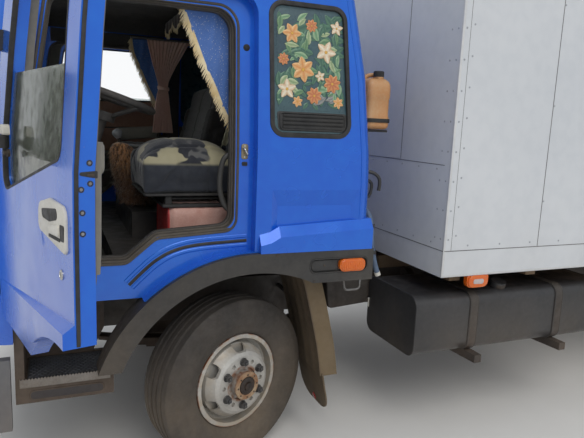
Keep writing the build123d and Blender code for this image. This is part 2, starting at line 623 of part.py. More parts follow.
MIRROR_X = 1200.0
MIRROR_Y = (1215.0, 1390.0)
MIRROR_Z = (1500.0, 1900.0)
mirror_head = prism("z", [
    (MIRROR_X - 32, MIRROR_Y[0], 25.0), (MIRROR_X + 32, MIRROR_Y[0], 25.0), (MIRROR_X + 32, MIRROR_Y[1], 25.0),
    (MIRROR_X - 32, MIRROR_Y[1], 25.0)], *MIRROR_Z)
ARM_R = 11.0
mirror_arms = []
for arm_z, head_z in ((1590.0, MIRROR_Z[0] - 20), (1930.0, MIRROR_Z[1] + 20)):
    pad = block((905, 955), (1000, 1078), (arm_z - 35, arm_z + 35)) - outer
    elbow = Vector(MIRROR_X, sum(MIRROR_Y) / 2, head_z)
    mirror_arms += [pad, rod((930, 1072, arm_z), elbow, ARM_R), Pos(*elbow) * Sphere(ARM_R)]
mirror_arms.append(rod((MIRROR_X, sum(MIRROR_Y) / 2, MIRROR_Z[0] - 20),
                       (MIRROR_X, sum(MIRROR_Y) / 2, MIRROR_Z[1] + 20), ARM_R))
door_mirror = mirror_head
for piece in mirror_arms:
    door_mirror += piece

DOOR_PIECES = (("door", leaf), ("door_trim", trim_panel), ("door_glass", door_glass), ("mirror", door_mirror))
for name, piece in DOOR_PIECES:
    write(f"left_{name}", about_vertical(piece, DOOR_HINGE_X, DOOR_HINGE_Y, -DOOR_OPEN))
    write(f"right_{name}", mirrored(piece))

# Ladder frame with its cross members, tilt brackets, rear cab mounts, towing plates and underrun bar
web = (RAIL_OUTER_Y - RAIL_WALL, RAIL_OUTER_Y)
rail_inner_y = RAIL_OUTER_Y - RAIL_FLANGE
rail_x = (RAIL_REAR_X, RAIL_FRONT_X)
side_rail = block(rail_x, web, (RAIL_BOTTOM, RAIL_TOP))
for flange_z in (RAIL_BOTTOM, RAIL_TOP - RAIL_WALL):
    side_rail += block(rail_x, (rail_inner_y, RAIL_OUTER_Y), (flange_z, flange_z + RAIL_WALL))
BRACKET_WALL = 15.0
BRACKET_R = TILT_PIN_R + 7.0
bracket_y = (RAIL_OUTER_Y, RAIL_OUTER_Y + BRACKET_WALL)
bracket = block((TILT_X - 110, TILT_X - 40), bracket_y, (RAIL_BOTTOM + 20, TILT_Z + BRACKET_R))
bracket += block((TILT_X - 40, TILT_X), bracket_y, (TILT_Z - 90, TILT_Z + BRACKET_R))
bracket += block((TILT_X, TILT_X + BRACKET_R), bracket_y, (TILT_Z - 90, TILT_Z))
bracket += rod((TILT_X, bracket_y[0], TILT_Z), (TILT_X, bracket_y[1], TILT_Z), BRACKET_R)
bracket += rod((TILT_X, RAIL_OUTER_Y, TILT_Z), (TILT_X, LUG_Y[1] + 6, TILT_Z), TILT_PIN_R)
side_rail += bracket
MOUNT_POST_X = (-520.0, -440.0)
side_rail += block(MOUNT_POST_X, (RAIL_OUTER_Y, 520), (RAIL_TOP - 100, SEAT_FLOOR - FLOOR_WALL - RUN_GAP))
UNDERRUN_X = (-6520.0, -6440.0)
side_rail += block((UNDERRUN_X[0] + 10, UNDERRUN_X[1] - 10), (RAIL_OUTER_Y - 40, RAIL_OUTER_Y), (500, RAIL_BOTTOM))
frame = both(side_rail)
inner_web = RAIL_OUTER_Y - RAIL_WALL
cross_z = (RAIL_TOP - RAIL_WALL - CROSS_DEPTH, RAIL_TOP - RAIL_WALL)
for cross_x in CROSS_XS:
    frame += block((cross_x - CROSS_WIDTH / 2, cross_x + CROSS_WIDTH / 2), (-inner_web, inner_web), cross_z)
FRONT_CROSS_X = (1040.0, 1100.0)
frame += block(FRONT_CROSS_X, (-inner_web, inner_web), (RAIL_BOTTOM + RAIL_WALL, RAIL_BOTTOM + 120))
rear_plate_x = (RAIL_REAR_X, RAIL_REAR_X + 12)
rear_plate_z = (RAIL_BOTTOM + RAIL_WALL, RAIL_TOP - RAIL_WALL)
frame += block(rear_plate_x, (-inner_web, inner_web), rear_plate_z)
coupling_z = (RAIL_BOTTOM + RAIL_TOP) / 2
for hole_y in (-COUPLING_SPACING_Y / 2, COUPLING_SPACING_Y / 2):
    for hole_z in (coupling_z - COUPLING_SPACING_Z / 2, coupling_z + COUPLING_SPACING_Z / 2):
        frame -= rod((rear_plate_x[0] - 5, hole_y, hole_z), (rear_plate_x[1] + 5, hole_y, hole_z), COUPLING_HOLE_R)
frame -= rod((rear_plate_x[0] - 5, 0, coupling_z), (rear_plate_x[1] + 5, 0, coupling_z), COUPLING_BORE_R)
frame += block(UNDERRUN_X, (-1060, 1060), (400, 500))
tow_z = RAIL_BOTTOM + 40
TOW_PLATE_X = (FRONT_CROSS_X[1], 1330.0)
tow_plate = block(TOW_PLATE_X, (TOW_EYE_Y - 10, TOW_EYE_Y + 10), (tow_z - 35, tow_z + 35))
tow_x = TOW_PLATE_X[1] - 35
tow_plate -= rod((tow_x, TOW_EYE_Y - 20, tow_z), (tow_x, TOW_EYE_Y + 20, tow_z), TOW_BORE_R)
frame += both(tow_plate)
write("frame", frame)

# Front bumper, wrapped round the corners under the cab
BUMPER_FRONT_X = 1265.0
BUMPER_Z = (400.0, 705.0)
BUMPER_WALL = 40.0
BUMPER_REAR_X = 1025.0
BUMPER_CORNER = 130.0


def bumper_outline(inset):
    """Plan of the bumper, set in by a wall at its front and ends."""
    front, half = BUMPER_FRONT_X - inset, SKIN_Y - inset
    corner = BUMPER_CORNER - inset
    return [(BUMPER_REAR_X - inset, -half, 0.0), (front - 40, -half, corner), (front, -500, 0.0), (front, 500, 0.0),
            (front - 40, half, corner), (BUMPER_REAR_X - inset, half, 0.0)]


bumper = prism("z", bumper_outline(0.0), *BUMPER_Z)
bumper -= prism("z", bumper_outline(BUMPER_WALL), BUMPER_Z[0] - 1, BUMPER_Z[1] + 1)
bumper &= block((BUMPER_REAR_X, 1400), (-1200, 1200), BUMPER_Z)
LAMP_Y = (560.0, 850.0)
LAMP_Z = (520.0, 660.0)
LAMP_DEPTH = 22.0
lamp_zone = block((BUMPER_FRONT_X - 60, BUMPER_FRONT_X + 60), LAMP_Y, LAMP_Z)
front_face = prism("z", bumper_outline(0.0), *BUMPER_Z) - prism("z", bumper_outline(LAMP_DEPTH), 300, 800)
headlamp = front_face & lamp_zone
bumper -= both(headlamp)
bumper -= both(block((BUMPER_REAR_X, BUMPER_FRONT_X + 20), (TOW_EYE_Y - 20, TOW_EYE_Y + 20), (tow_z - 45, tow_z + 45)))
STAY_X = (RAIL_FRONT_X, BUMPER_FRONT_X - BUMPER_WALL)
STAY_Y = (rail_inner_y, RAIL_OUTER_Y - RAIL_WALL)
bumper += both(block(STAY_X, STAY_Y, (RAIL_BOTTOM + 20, RAIL_BOTTOM + 100)))
write("front_bumper", bumper)
write("headlamps", both(headlamp))

# Engine and driveline
ENGINE_X = (-450.0, 420.0)
ENGINE_HALF = rail_inner_y - 30.0
ENGINE_Z = (480.0, 1080.0)
engine = block(ENGINE_X, (-ENGINE_HALF, ENGINE_HALF), ENGINE_Z)
ENGINE_FOOT_X = ((-380.0, -300.0), (280.0, 360.0))
for foot_x in ENGINE_FOOT_X:
    engine += block(foot_x, (-inner_web, inner_web), (RAIL_BOTTOM + RAIL_WALL, RAIL_BOTTOM + 60))
write("engine_block", engine)

BOX_TAIL_X = -1150.0
SHAFT_FRONT = Vector(BOX_TAIL_X, 0, 640)
AXLE_NOSE_X = REAR_AXLE_X + 300.0
AXLE_NOSE = Vector(AXLE_NOSE_X, 0, TYRE_R + 12)
gearbox = Solid.make_loft([
    rounded_wire("x", [(-200, 500, 60.0), (200, 500, 60.0), (200, 880, 60.0), (-200, 880, 60.0)], ENGINE_X[0]),
    rounded_wire("x", [(-110, 540, 40.0), (110, 540, 40.0), (110, 740, 40.0), (-110, 740, 40.0)], BOX_TAIL_X)],
    ruled=True)
driveline = gearbox + rod(SHAFT_FRONT + Vector(2, 0, 0), AXLE_NOSE, 42.0)
for joint, direction in ((SHAFT_FRONT, -1), (AXLE_NOSE, 1)):
    driveline += rod(joint, joint + (AXLE_NOSE - SHAFT_FRONT).normalized() * (-90 * direction), 68.0)
driveline -= block((AXLE_NOSE_X - 200, AXLE_NOSE_X), (-200, 200), (200, 700))
write("driveline", driveline)

# Front axle beam, dropped between its spring seats, with the kingpins in its ends
BEAM_HALF_X = 40.0
BEAM_PROFILE = [
    (-700, 440, 0.0), (-640, 450, 20.0), (-440, 425, 15.0), (-350, 425, 15.0), (-300, 385, 30.0),
    (300, 385, 30.0), (350, 425, 15.0), (440, 425, 15.0), (640, 450, 20.0), (700, 440, 0.0),
    (760, 440, 0.0), (760, 380, 0.0), (660, 375, 20.0), (440, 345, 20.0), (350, 340, 20.0), (300, 300, 30.0),
    (-300, 300, 30.0), (-350, 340, 20.0), (-440, 345, 20.0), (-660, 375, 20.0), (-760, 380, 0.0), (-760, 440, 0.0)]
BOSS_R = 42.0
BOSS_Z = (375.0, 455.0)
KINGPIN_Z = (322.0, 503.0)
BEAM_RECESSES = ((-280.0, 280.0, 318.0, 367.0), (460.0, 620.0, 380.0, 415.0), (-620.0, -460.0, 380.0, 415.0))
beam = prism("x", BEAM_PROFILE, FRONT_AXLE_X - BEAM_HALF_X, FRONT_AXLE_X + BEAM_HALF_X)
for y0, y1, z0, z1 in BEAM_RECESSES:
    for x0, x1 in ((FRONT_AXLE_X - 60, FRONT_AXLE_X - 12), (FRONT_AXLE_X + 12, FRONT_AXLE_X + 60)):
        beam -= block((x0, x1), (y0, y1), (z0, z1))
for side in (-1, 1):
    y = side * KINGPIN_Y
    beam += rod((FRONT_AXLE_X, y, BOSS_Z[0]), (FRONT_AXLE_X, y, BOSS_Z[1]), BOSS_R)
    beam += rod((FRONT_AXLE_X, y, KINGPIN_Z[0]), (FRONT_AXLE_X, y, KINGPIN_Z[1]), KINGPIN_R)
write("front_axle_beam", beam)

# Leaf springs. Columns: axle x, half length, eye z, middle z of the top leaf, leaf count, leaf thickness
SPRINGS = (
    (FRONT_AXLE_X, FRONT_SPRING_HALF, 545.0, 475.0, 5, 10.0),
    (REAR_AXLE_X, REAR_SPRING_HALF, 553.0, 540.0, 6, 12.0),
)
EYE_R = 24.0


def leaf_arc(x, half, eye_z, middle_z, drop, thickness, reach):
    """One leaf as a slice of a circular band, cut to its own length."""
    rise = eye_z - middle_z
    radius = (half ** 2 + rise ** 2) / (2 * rise)
    centre = middle_z + radius - drop
    lower, upper = radius, radius - thickness
    band = rod((x, -SPRING_WIDTH / 2, centre), (x, SPRING_WIDTH / 2, centre), lower)
    band -= rod((x, -SPRING_WIDTH, centre), (x, SPRING_WIDTH, centre), upper)
    return band & block((x - reach, x + reach), (-SPRING_WIDTH, SPRING_WIDTH), (0, eye_z + 60))


springs = None
for x, half, eye_z, middle_z, count, thickness in SPRINGS:
    pack = None
    for i in range(count):
        drop = thickness * (i + 1)
        leaf_bar = leaf_arc(x, half, eye_z, middle_z, drop, thickness, half - i * half * 0.13)
        pack = leaf_bar if pack is None else pack + leaf_bar
    for end in (-1, 1):
        eye_x = x + end * half
        pack += rod((eye_x, -SPRING_WIDTH / 2, eye_z), (eye_x, SPRING_WIDTH / 2, eye_z), EYE_R)
        pack += block((eye_x - 12, eye_x + 12), (-SPRING_WIDTH / 2 + 5, SPRING_WIDTH / 2 - 5), (eye_z, RAIL_BOTTOM))
    placed_pack = Pos(0, SPRING_Y, 0) * pack
    springs = placed_pack if springs is None else springs + placed_pack
write("leaf_springs", both(springs))

# Knuckle: yoke round the beam end, spindle, backing plate and steering arm
YOKE_R = 42.0
UPPER_LUG_Z = (BOSS_Z[1] + RUN_GAP, 498.0)
LOWER_LUG_Z = (326.0, BOSS_Z[0] - RUN_GAP)
YOKE_PLATE_Y = (808.0, 845.0)
SPINDLE_R = 38.0
SPINDLE_END_Y = 950.0
knuckle = block((-50, 50), YOKE_PLATE_Y, (LOWER_LUG_Z[0], UPPER_LUG_Z[1]))
for lug_z in (UPPER_LUG_Z, LOWER_LUG_Z):
    knuckle += rod((0, KINGPIN_Y, lug_z[0]), (0, KINGPIN_Y, lug_z[1]), YOKE_R)
    knuckle += block((-YOKE_R, YOKE_R), (KINGPIN_Y, YOKE_PLATE_Y[1]), lug_z)
    knuckle -= rod((0, KINGPIN_Y, lug_z[0] - 5), (0, KINGPIN_Y, lug_z[1] + 5), KINGPIN_R + PIN_FIT)
knuckle += rod((0, YOKE_PLATE_Y[1] - 1, TYRE_R), (0, SPINDLE_END_Y, TYRE_R), SPINDLE_R)
knuckle += rod((0, YOKE_PLATE_Y[1], TYRE_R), (0, YOKE_PLATE_Y[1] + 6, TYRE_R), DRUM_R)
TIE_PIN_R = 12.0
ARM_HALF = 22.0
ARM_Z = (LOWER_LUG_Z[0], 358.0)
knuckle += block((-STEER_ARM, -20), (KINGPIN_Y - ARM_HALF, KINGPIN_Y + ARM_HALF), ARM_Z)
knuckle += rod((-STEER_ARM, KINGPIN_Y, ARM_Z[0]), (-STEER_ARM, KINGPIN_Y, ARM_Z[1]), ARM_HALF)
knuckle += rod((-STEER_ARM, KINGPIN_Y, ARM_Z[1] - 1), (-STEER_ARM, KINGPIN_Y, ARM_Z[1] + 46), TIE_PIN_R)
knuckle = Pos(FRONT_AXLE_X, 0, 0) * knuckle

# Tie rod on top of the two steering arms
TIE_EYE_R = 24.0
TIE_EYE_Z = (ARM_Z[1] + 5.0, ARM_Z[1] + 41.0)
tie_z = sum(TIE_EYE_Z) / 2
tie_rod = rod((0, -KINGPIN_Y, tie_z), (0, KINGPIN_Y, tie_z), TIE_ROD_R)
for side in (-1, 1):
    eye = rod((0, side * KINGPIN_Y, TIE_EYE_Z[0]), (0, side * KINGPIN_Y, TIE_EYE_Z[1]), TIE_EYE_R)
    tie_rod += eye
for side in (-1, 1):
    tie_rod -= rod((0, side * KINGPIN_Y, TIE_EYE_Z[0] - 5), (0, side * KINGPIN_Y, TIE_EYE_Z[1] + 5),
                   TIE_PIN_R + PIN_FIT)
swing = radians(STEER_AT_REST)
tie_rod = Pos(FRONT_AXLE_X - STEER_ARM * cos(swing), -STEER_ARM * sin(swing), 0) * tie_rod
write("tie_rod", tie_rod)


# Wheels and tyres, turned about the wheel axis with its middle plane at offset 0
def rim_and_disc():
    """Rim with its well, and the dished disc with stud holes and hand holes, dish towards +y."""
    bead, flange, half, well = BEAD_R, RIM_FLANGE_R, RIM_HALF, WELL_R
    wall = 7.0
    profile = [
        (flange, -half), (flange, -half + FLANGE_WALL), (bead, -half + FLANGE_WALL), (bead - 3, -35), (well, -20),
        (well, 25), (bead - 3, 40), (bead, half - FLANGE_WALL), (flange, half - FLANGE_WALL), (flange, half),
        (bead - wall, half), (bead - wall, half - FLANGE_WALL), (bead - 3 - wall, 42), (well - wall, 27),
        (well - wall, -22), (bead - 3 - wall, -37), (bead - wall, -half + FLANGE_WALL), (bead - wall, -half)]
    rim = spun(profile, 0.0)
    face, back = DISC_OFFSET, DISC_OFFSET - DISC_WALL
    dish = [
        (HUB_BORE_R, back), (HUB_BORE_R, face), (PAD_R, face), (PAD_R + 18, face - 10), (PAD_R + 46, face - 52),
        (well - wall + 1, 25), (well - wall + 1, 2), (PAD_R + 40, back - 46), (PAD_R + 12, back - 10), (PAD_R - 6, back)]
    disc = spun(dish, 0.0)
    for i in range(HAND_HOLE_COUNT):
        turn = Rot(0, 360.0 * (i + 0.5) / HAND_HOLE_COUNT, 0)
        for along in (-HAND_HOLE_STRETCH, 0.0, HAND_HOLE_STRETCH):
            disc -= turn * rod((HAND_HOLE_RING_R, 0, along), (HAND_HOLE_RING_R, 200, along), HAND_HOLE_R)
    stud_r = STUD_PCD / 2
    for i in range(STUD_COUNT):
        turn = Rot(0, 360.0 * i / STUD_COUNT, 0)
        disc -= turn * rod((stud_r, back - 5, 0), (stud_r, face + 5, 0), 11.0)
    return rim + disc


TYRE_HALF = TYRE_WIDTH / 2
TREAD_HALF = 92.0
tyre_profile = [
    (BEAD_R + RUN_GAP, -RIM_HALF + FLANGE_WALL + RUN_GAP), (RIM_FLANGE_R, -RIM_HALF + FLANGE_WALL + RUN_GAP),
    (RIM_FLANGE_R + 8, -RIM_HALF), (278, -104), (320, -TYRE_HALF), (365, -TYRE_HALF + 3), (400, -TREAD_HALF - 8),
    (TYRE_R - 5, -TREAD_HALF), (TYRE_R, -TREAD_HALF + 40), (TYRE_R, TREAD_HALF - 40), (TYRE_R - 5, TREAD_HALF),
    (400, TREAD_HALF + 8), (365, TYRE_HALF - 3), (320, TYRE_HALF), (278, 104), (RIM_FLANGE_R + 8, RIM_HALF),
    (RIM_FLANGE_R, RIM_HALF - FLANGE_WALL - RUN_GAP), (BEAD_R + RUN_GAP, RIM_HALF - FLANGE_WALL - RUN_GAP)]
air_profile = [(200, -58), (240, -62), (300, -88), (385, -88), (396, 0), (385, 88), (300, 88), (240, 62), (200, 58)]
tyre = spun(tyre_profile, 0.0) - spun(air_profile, 0.0)
wheel = rim_and_disc()


def hub(inner_offset, bore_r, nose_offset, nose_r):
    """Hub with its flange against the disc's pad, a bore on the spindle, and the brake drum."""
    back = DISC_OFFSET - DISC_WALL
    body = spun([(bore_r, inner_offset), (90, inner_offset), (90, back - 16), (PAD_R - 8, back - 16),
                 (PAD_R - 8, back - RUN_GAP), (nose_r, back - RUN_GAP), (nose_r, nose_offset),
                 (0.01, nose_offset), (0.01, nose_offset - 12), (bore_r, nose_offset - 12)], 0.0)
    drum = spun([(DRUM_R, inner_offset + 8), (DRUM_R, 60), (91, 60), (89, 50), (DRUM_R - 14, 50),
                 (DRUM_R - 14, inner_offset + 8)], 0.0)
    return body + drum


# Front wheels on their spindles, turned with the steering at rest
FRONT_HUB_NOSE = DISC_OFFSET + 32.0
front_wheel = wheel + hub(6.0, SPINDLE_R + PIN_FIT, FRONT_HUB_NOSE, 66.0)
for side_name, side in (("left", 1), ("right", -1)):
    for part_name, shape in (("wheel", front_wheel), ("tyre", tyre)):
        placed_shape = Pos(FRONT_AXLE_X, WHEEL_CENTRE_Y, TYRE_R) * shape
        if side < 0:
            placed_shape = mirrored(placed_shape)
        turned = about_vertical(placed_shape, FRONT_AXLE_X, side * KINGPIN_Y, STEER_AT_REST)
        write(f"front_{side_name}_{part_name}", turned)
    placed_knuckle = knuckle if side > 0 else mirrored(knuckle)
    write(f"{side_name}_knuckle", about_vertical(placed_knuckle, FRONT_AXLE_X, side * KINGPIN_Y, STEER_AT_REST))

# Rear axle and twin wheels, the two discs back to back on the hub flange
AXLE_TUBE_R = 48.0
REAR_SPINDLE_R = 40.0
outer_y = TWIN_FLANGE_Y + DISC_OFFSET
inner_y = TWIN_FLANGE_Y - DISC_OFFSET
REAR_HUB_INNER_Y = 590.0
REAR_SPINDLE_END = 862.0
rear_axle = rod((0, -REAR_HUB_INNER_Y + 5, TYRE_R), (0, REAR_HUB_INNER_Y - 5, TYRE_R), AXLE_TUBE_R)
rear_axle += rod((0, -REAR_SPINDLE_END, TYRE_R), (0, REAR_SPINDLE_END, TYRE_R), REAR_SPINDLE_R)
rear_axle += Pos(0, 0, TYRE_R) * spun([(0.01, -110), (120, -95), (175, -40), (175, 40), (120, 95), (0.01, 110)], 0.0)
rear_axle += Pos(0, 0, TYRE_R) * extrude(Plane.YZ * Circle(105), amount=AXLE_NOSE_X - REAR_AXLE_X, taper=9.0)
rear_axle = Pos(REAR_AXLE_X, 0, 0) * rear_axle
SEAT_PLATE = 35.0
rear_pad_top = SPRINGS[1][3] - SPRINGS[1][4] * SPRINGS[1][5]
rear_axle += both(block((REAR_AXLE_X - 60, REAR_AXLE_X + 60), (SPRING_Y - SEAT_PLATE, SPRING_Y + SEAT_PLATE),
                        (TYRE_R, rear_pad_top)))
write("rear_axle", rear_axle)
inner_wheel = Pos(0, inner_y, 0) * wheel
outer_wheel = Pos(0, outer_y, 0) * (Rot(0, 0, 180) * wheel)
hub_nose = 900.0 - inner_y
rear_hub = Pos(0, inner_y, 0) * hub(REAR_HUB_INNER_Y - inner_y, REAR_SPINDLE_R + PIN_FIT, hub_nose, HUB_BORE_R - 1)
rear_wheels = inner_wheel + outer_wheel + rear_hub
rear_tyres = Pos(0, inner_y, 0) * tyre + Pos(0, outer_y, 0) * tyre
for part_name, shape in (("wheels", rear_wheels), ("tyres", rear_tyres)):
    placed_shape = Pos(REAR_AXLE_X, 0, TYRE_R) * shape
    write(f"rear_left_{part_name}", placed_shape)
    write(f"rear_right_{part_name}", mirrored(placed_shape))

# Fuel tank on gusseted brackets with straps
tank_rear_x = TANK_FRONT_X - TANK_LENGTH


def tank_outline(grow):
    """Tank cross-section, grown by a clearance."""
    y0, y1, z0, z1 = TANK_INNER_Y - grow, TANK_OUTER_Y + grow, TANK_BOTTOM - grow, TANK_TOP + grow
    return [(y0, z0, TANK_EDGE_R + grow), (y1, z0, TANK_EDGE_R + grow), (y1, z1, TANK_EDGE_R + grow),
            (y0, z1, TANK_EDGE_R + grow)]


tank = prism("x", tank_outline(0.0), tank_rear_x, TANK_FRONT_X)
tank += rod((-1450, TANK_OUTER_Y - 90, TANK_TOP - 30), (-1450, TANK_OUTER_Y - 70, TANK_TOP + 38), 42.0)
write("fuel_tank", tank)
straps = None
for strap_x in STRAP_XS:
    x0, x1 = strap_x - STRAP_WIDTH / 2, strap_x + STRAP_WIDTH / 2
    foot = prism("x", [
        (RAIL_OUTER_Y, 430, 0.0), (1185, 458, 0.0), (1185, TANK_BOTTOM - RUN_GAP, 0.0),
        (TANK_INNER_Y - RUN_GAP, TANK_BOTTOM - RUN_GAP, 0.0), (TANK_INNER_Y - RUN_GAP, 700, 0.0), (480, RAIL_TOP, 0.0),
        (RAIL_OUTER_Y, RAIL_TOP, 0.0)], x0, x1)
    band = prism("x", tank_outline(STRAP_WALL + RUN_GAP), x0, x1) - prism("x", tank_outline(RUN_GAP), x0 - 1, x1 + 1)
    band -= block((x0 - 1, x1 + 1), (500, TANK_INNER_Y + 60), (400, 695))
    band -= block((x0 - 1, x1 + 1), (500, 1200), (400, TANK_BOTTOM - RUN_GAP))
    strap = foot + band
    straps = strap if straps is None else straps + strap
write("tank_straps", straps)

# Battery box and silencer on the right-hand side
battery_box = block((-1480, -880), (-1050, -640), (470, 790))
battery_box += block((-1460, -1400), (-640, -RAIL_OUTER_Y), (600, 760))
battery_box += block((-960, -900), (-640, -RAIL_OUTER_Y), (600, 760))
write("battery_box", battery_box)

SILENCER_X = (-2650.0, -1750.0)
SILENCER_R = 135.0
SILENCER_Y = -690.0
SILENCER_Z = 600.0
silencer = rod((SILENCER_X[0], SILENCER_Y, SILENCER_Z), (SILENCER_X[1], SILENCER_Y, SILENCER_Z), SILENCER_R)
silencer += rod((SILENCER_X[1] - 5, SILENCER_Y + 60, SILENCER_Z), (-1540, SILENCER_Y + 60, SILENCER_Z), 38)
silencer += rod((SILENCER_X[0] + 5, SILENCER_Y, SILENCER_Z), (SILENCER_X[0] - 120, SILENCER_Y, SILENCER_Z), 42)
silencer += rod((SILENCER_X[0] - 120, SILENCER_Y, SILENCER_Z), (SILENCER_X[0] - 230, SILENCER_Y - 260, 520), 42)
for hanger_x in (-2450.0, -1950.0):
    silencer += block((hanger_x - 20, hanger_x + 20), (SILENCER_Y, -RAIL_OUTER_Y), (690, 760))
write("silencer", silencer)

# Mudguards with their flaps
GUARD_X = (-424.0, -412.0)
guard = block(GUARD_X, (600, 950), (385, 902))
guard += block((GUARD_X[1], GUARD_X[1] + 34), (940, 950), (420, 902))
guard += block((GUARD_X[0] + 2, GUARD_X[1] - 2), (640, 945), (215, 390))
guard += block((GUARD_X[0] - 30, GUARD_X[0]), (RAIL_OUTER_Y, 640), (620, 690))
REAR_FLAP_X = REAR_AXLE_X - 590.0
rear_guard = block((REAR_FLAP_X, REAR_FLAP_X + 12), (560, 1090), (270, BEARER_BOTTOM))
rear_guard += block((REAR_FLAP_X + 12, REAR_FLAP_X + 52), (RAIL_OUTER_Y, 620), (690, 740))
write("mudguards", both(guard + rear_guard))

# Box body: floor on bearers, walls, roof and rear frame
wall_y = BOX_HALF - BOX_WALL
box_inner_x = (BOX_REAR_X + REAR_FRAME_DEPTH, BOX_FRONT_X - BOX_WALL)
box_floor = block(box_inner_x, (-wall_y, wall_y), (BOX_BOTTOM, BOX_FLOOR_TOP))
BEARER_STEP = 540.0
BEARER_COUNT = 10
for i in range(BEARER_COUNT):
    x0 = box_inner_x[1] - 90 - i * BEARER_STEP
    box_floor += block((x0 - 70, x0), (-wall_y + 60, wall_y - 60), (BEARER_BOTTOM, BOX_BOTTOM))
box_floor += both(block((RAIL_REAR_X, box_inner_x[1] - 20), (rail_inner_y, RAIL_OUTER_Y), (RAIL_TOP, BEARER_BOTTOM)))
write("box_floor", box_floor)

ROOF_DEPTH = 50.0
wall_top = BOX_TOP - ROOF_DEPTH
write("box_front_wall", block((BOX_FRONT_X - BOX_WALL, BOX_FRONT_X), (-BOX_HALF, BOX_HALF), (BOX_BOTTOM, wall_top)))
side_x = box_inner_x
write("box_left_wall", block(side_x, (wall_y, BOX_HALF), (BOX_BOTTOM, wall_top)))
write("box_right_wall", block(side_x, (-BOX_HALF, -wall_y), (BOX_BOTTOM, wall_top)))
write("box_roof", block((BOX_REAR_X, BOX_FRONT_X), (-BOX_HALF, BOX_HALF), (wall_top, BOX_TOP)))

rear_frame = block((BOX_REAR_X, box_inner_x[0]), (-BOX_HALF, BOX_HALF), (BOX_BOTTOM, wall_top))
rear_frame -= block((BOX_REAR_X - 5, box_inner_x[0] + 5), (-BOX_HALF + REAR_POST, BOX_HALF - REAR_POST),
                    (BOX_FLOOR_TOP, wall_top - 60))
HINGE_HEIGHTS = (1300.0, 2060.0, 2820.0)
HINGE_KNUCKLE = 24.0
HINGE_BARREL_R = 13.0
REAR_PIN_R = 7.0
door_rear_x = BOX_REAR_X - REAR_DOOR_GAP - REAR_DOOR_WALL
hinge_x = door_rear_x - 5.0
fixed_hinges = None
for z in HINGE_HEIGHTS:
    for low, high in ((z - 46, z - HINGE_KNUCKLE - 1), (z + HINGE_KNUCKLE + 1, z + 46)):
        hinge_lug = block((hinge_x - 6, BOX_REAR_X + 30), (BOX_HALF, REAR_HINGE_Y), (low, high))
        hinge_lug += rod((hinge_x, REAR_HINGE_Y, low), (hinge_x, REAR_HINGE_Y, high), HINGE_BARREL_R)
        fixed_hinges = hinge_lug if fixed_hinges is None else fixed_hinges + hinge_lug
    fixed_hinges += rod((hinge_x, REAR_HINGE_Y, z - 46), (hinge_x, REAR_HINGE_Y, z + 46), REAR_PIN_R)
rear_frame += both(fixed_hinges)
write("box_rear_frame", rear_frame)

rear_leaf = block((door_rear_x, BOX_REAR_X - REAR_DOOR_GAP), (4, BOX_HALF - 4), (REAR_DOOR_BOTTOM, REAR_DOOR_TOP))
for z in HINGE_HEIGHTS:
    strap_z = (z - HINGE_KNUCKLE, z + HINGE_KNUCKLE)
    rear_leaf += block((hinge_x - 2, door_rear_x), (BOX_HALF - 260, REAR_HINGE_Y), strap_z)
    rear_leaf += rod((hinge_x, REAR_HINGE_Y, strap_z[0]), (hinge_x, REAR_HINGE_Y, strap_z[1]), HINGE_BARREL_R)
for z in HINGE_HEIGHTS:
    rear_leaf -= rod((hinge_x, REAR_HINGE_Y, z - 40), (hinge_x, REAR_HINGE_Y, z + 40), REAR_PIN_R + PIN_FIT)
LOCK_ROD_YS = (120.0, 800.0)
LOCK_ROD_R = 11.0
rod_x = door_rear_x - 15.0
for rod_y in LOCK_ROD_YS:
    rear_leaf += rod((rod_x, rod_y, REAR_DOOR_BOTTOM + 5), (rod_x, rod_y, REAR_DOOR_TOP - 5), LOCK_ROD_R)
    for z in (REAR_DOOR_BOTTOM + 100, 1500, 2500, REAR_DOOR_TOP - 100):
        rear_leaf += block((rod_x - 6, door_rear_x), (rod_y - 30, rod_y + 30), (z - 25, z + 25))
write("rear_left_door", rear_leaf)
write("rear_right_door", mirrored(rear_leaf))

# Marker lamps under the box sides and tail lamps under its rear sill
MARKER_XS = (-1215.0, -3000.0, -5200.0, -6350.0)
markers = None
for x in MARKER_XS:
    marker = prism("y", [
        (x - 70, 868, 30.0), (x + 70, 868, 30.0), (x + 70, BOX_BOTTOM, 12.0), (x - 70, BOX_BOTTOM, 12.0)],
        BOX_HALF - 30, BOX_HALF - 4)
    markers = marker if markers is None else markers + marker
tail_lamp = block((BOX_REAR_X + 5, BOX_REAR_X + 60), (720, 1080), (800, BOX_BOTTOM))
write("marker_lamps", both(markers + tail_lamp))
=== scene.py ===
"""Looks of a blue cab-over box truck with curtains, fringe and a painted quarter window.

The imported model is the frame. Lengths are laid out in millimetres with x forward, y left and z up
from under the middle of the front wheel arch, on the left-hand side with its door closed, and a
Placing puts them where the truck has them, in metres.
"""

import logging
import math
from dataclasses import dataclass, field
from enum import Enum
from typing import Callable, Iterable, Sequence

import bmesh
import bpy
import numpy as np
from mathutils import Matrix


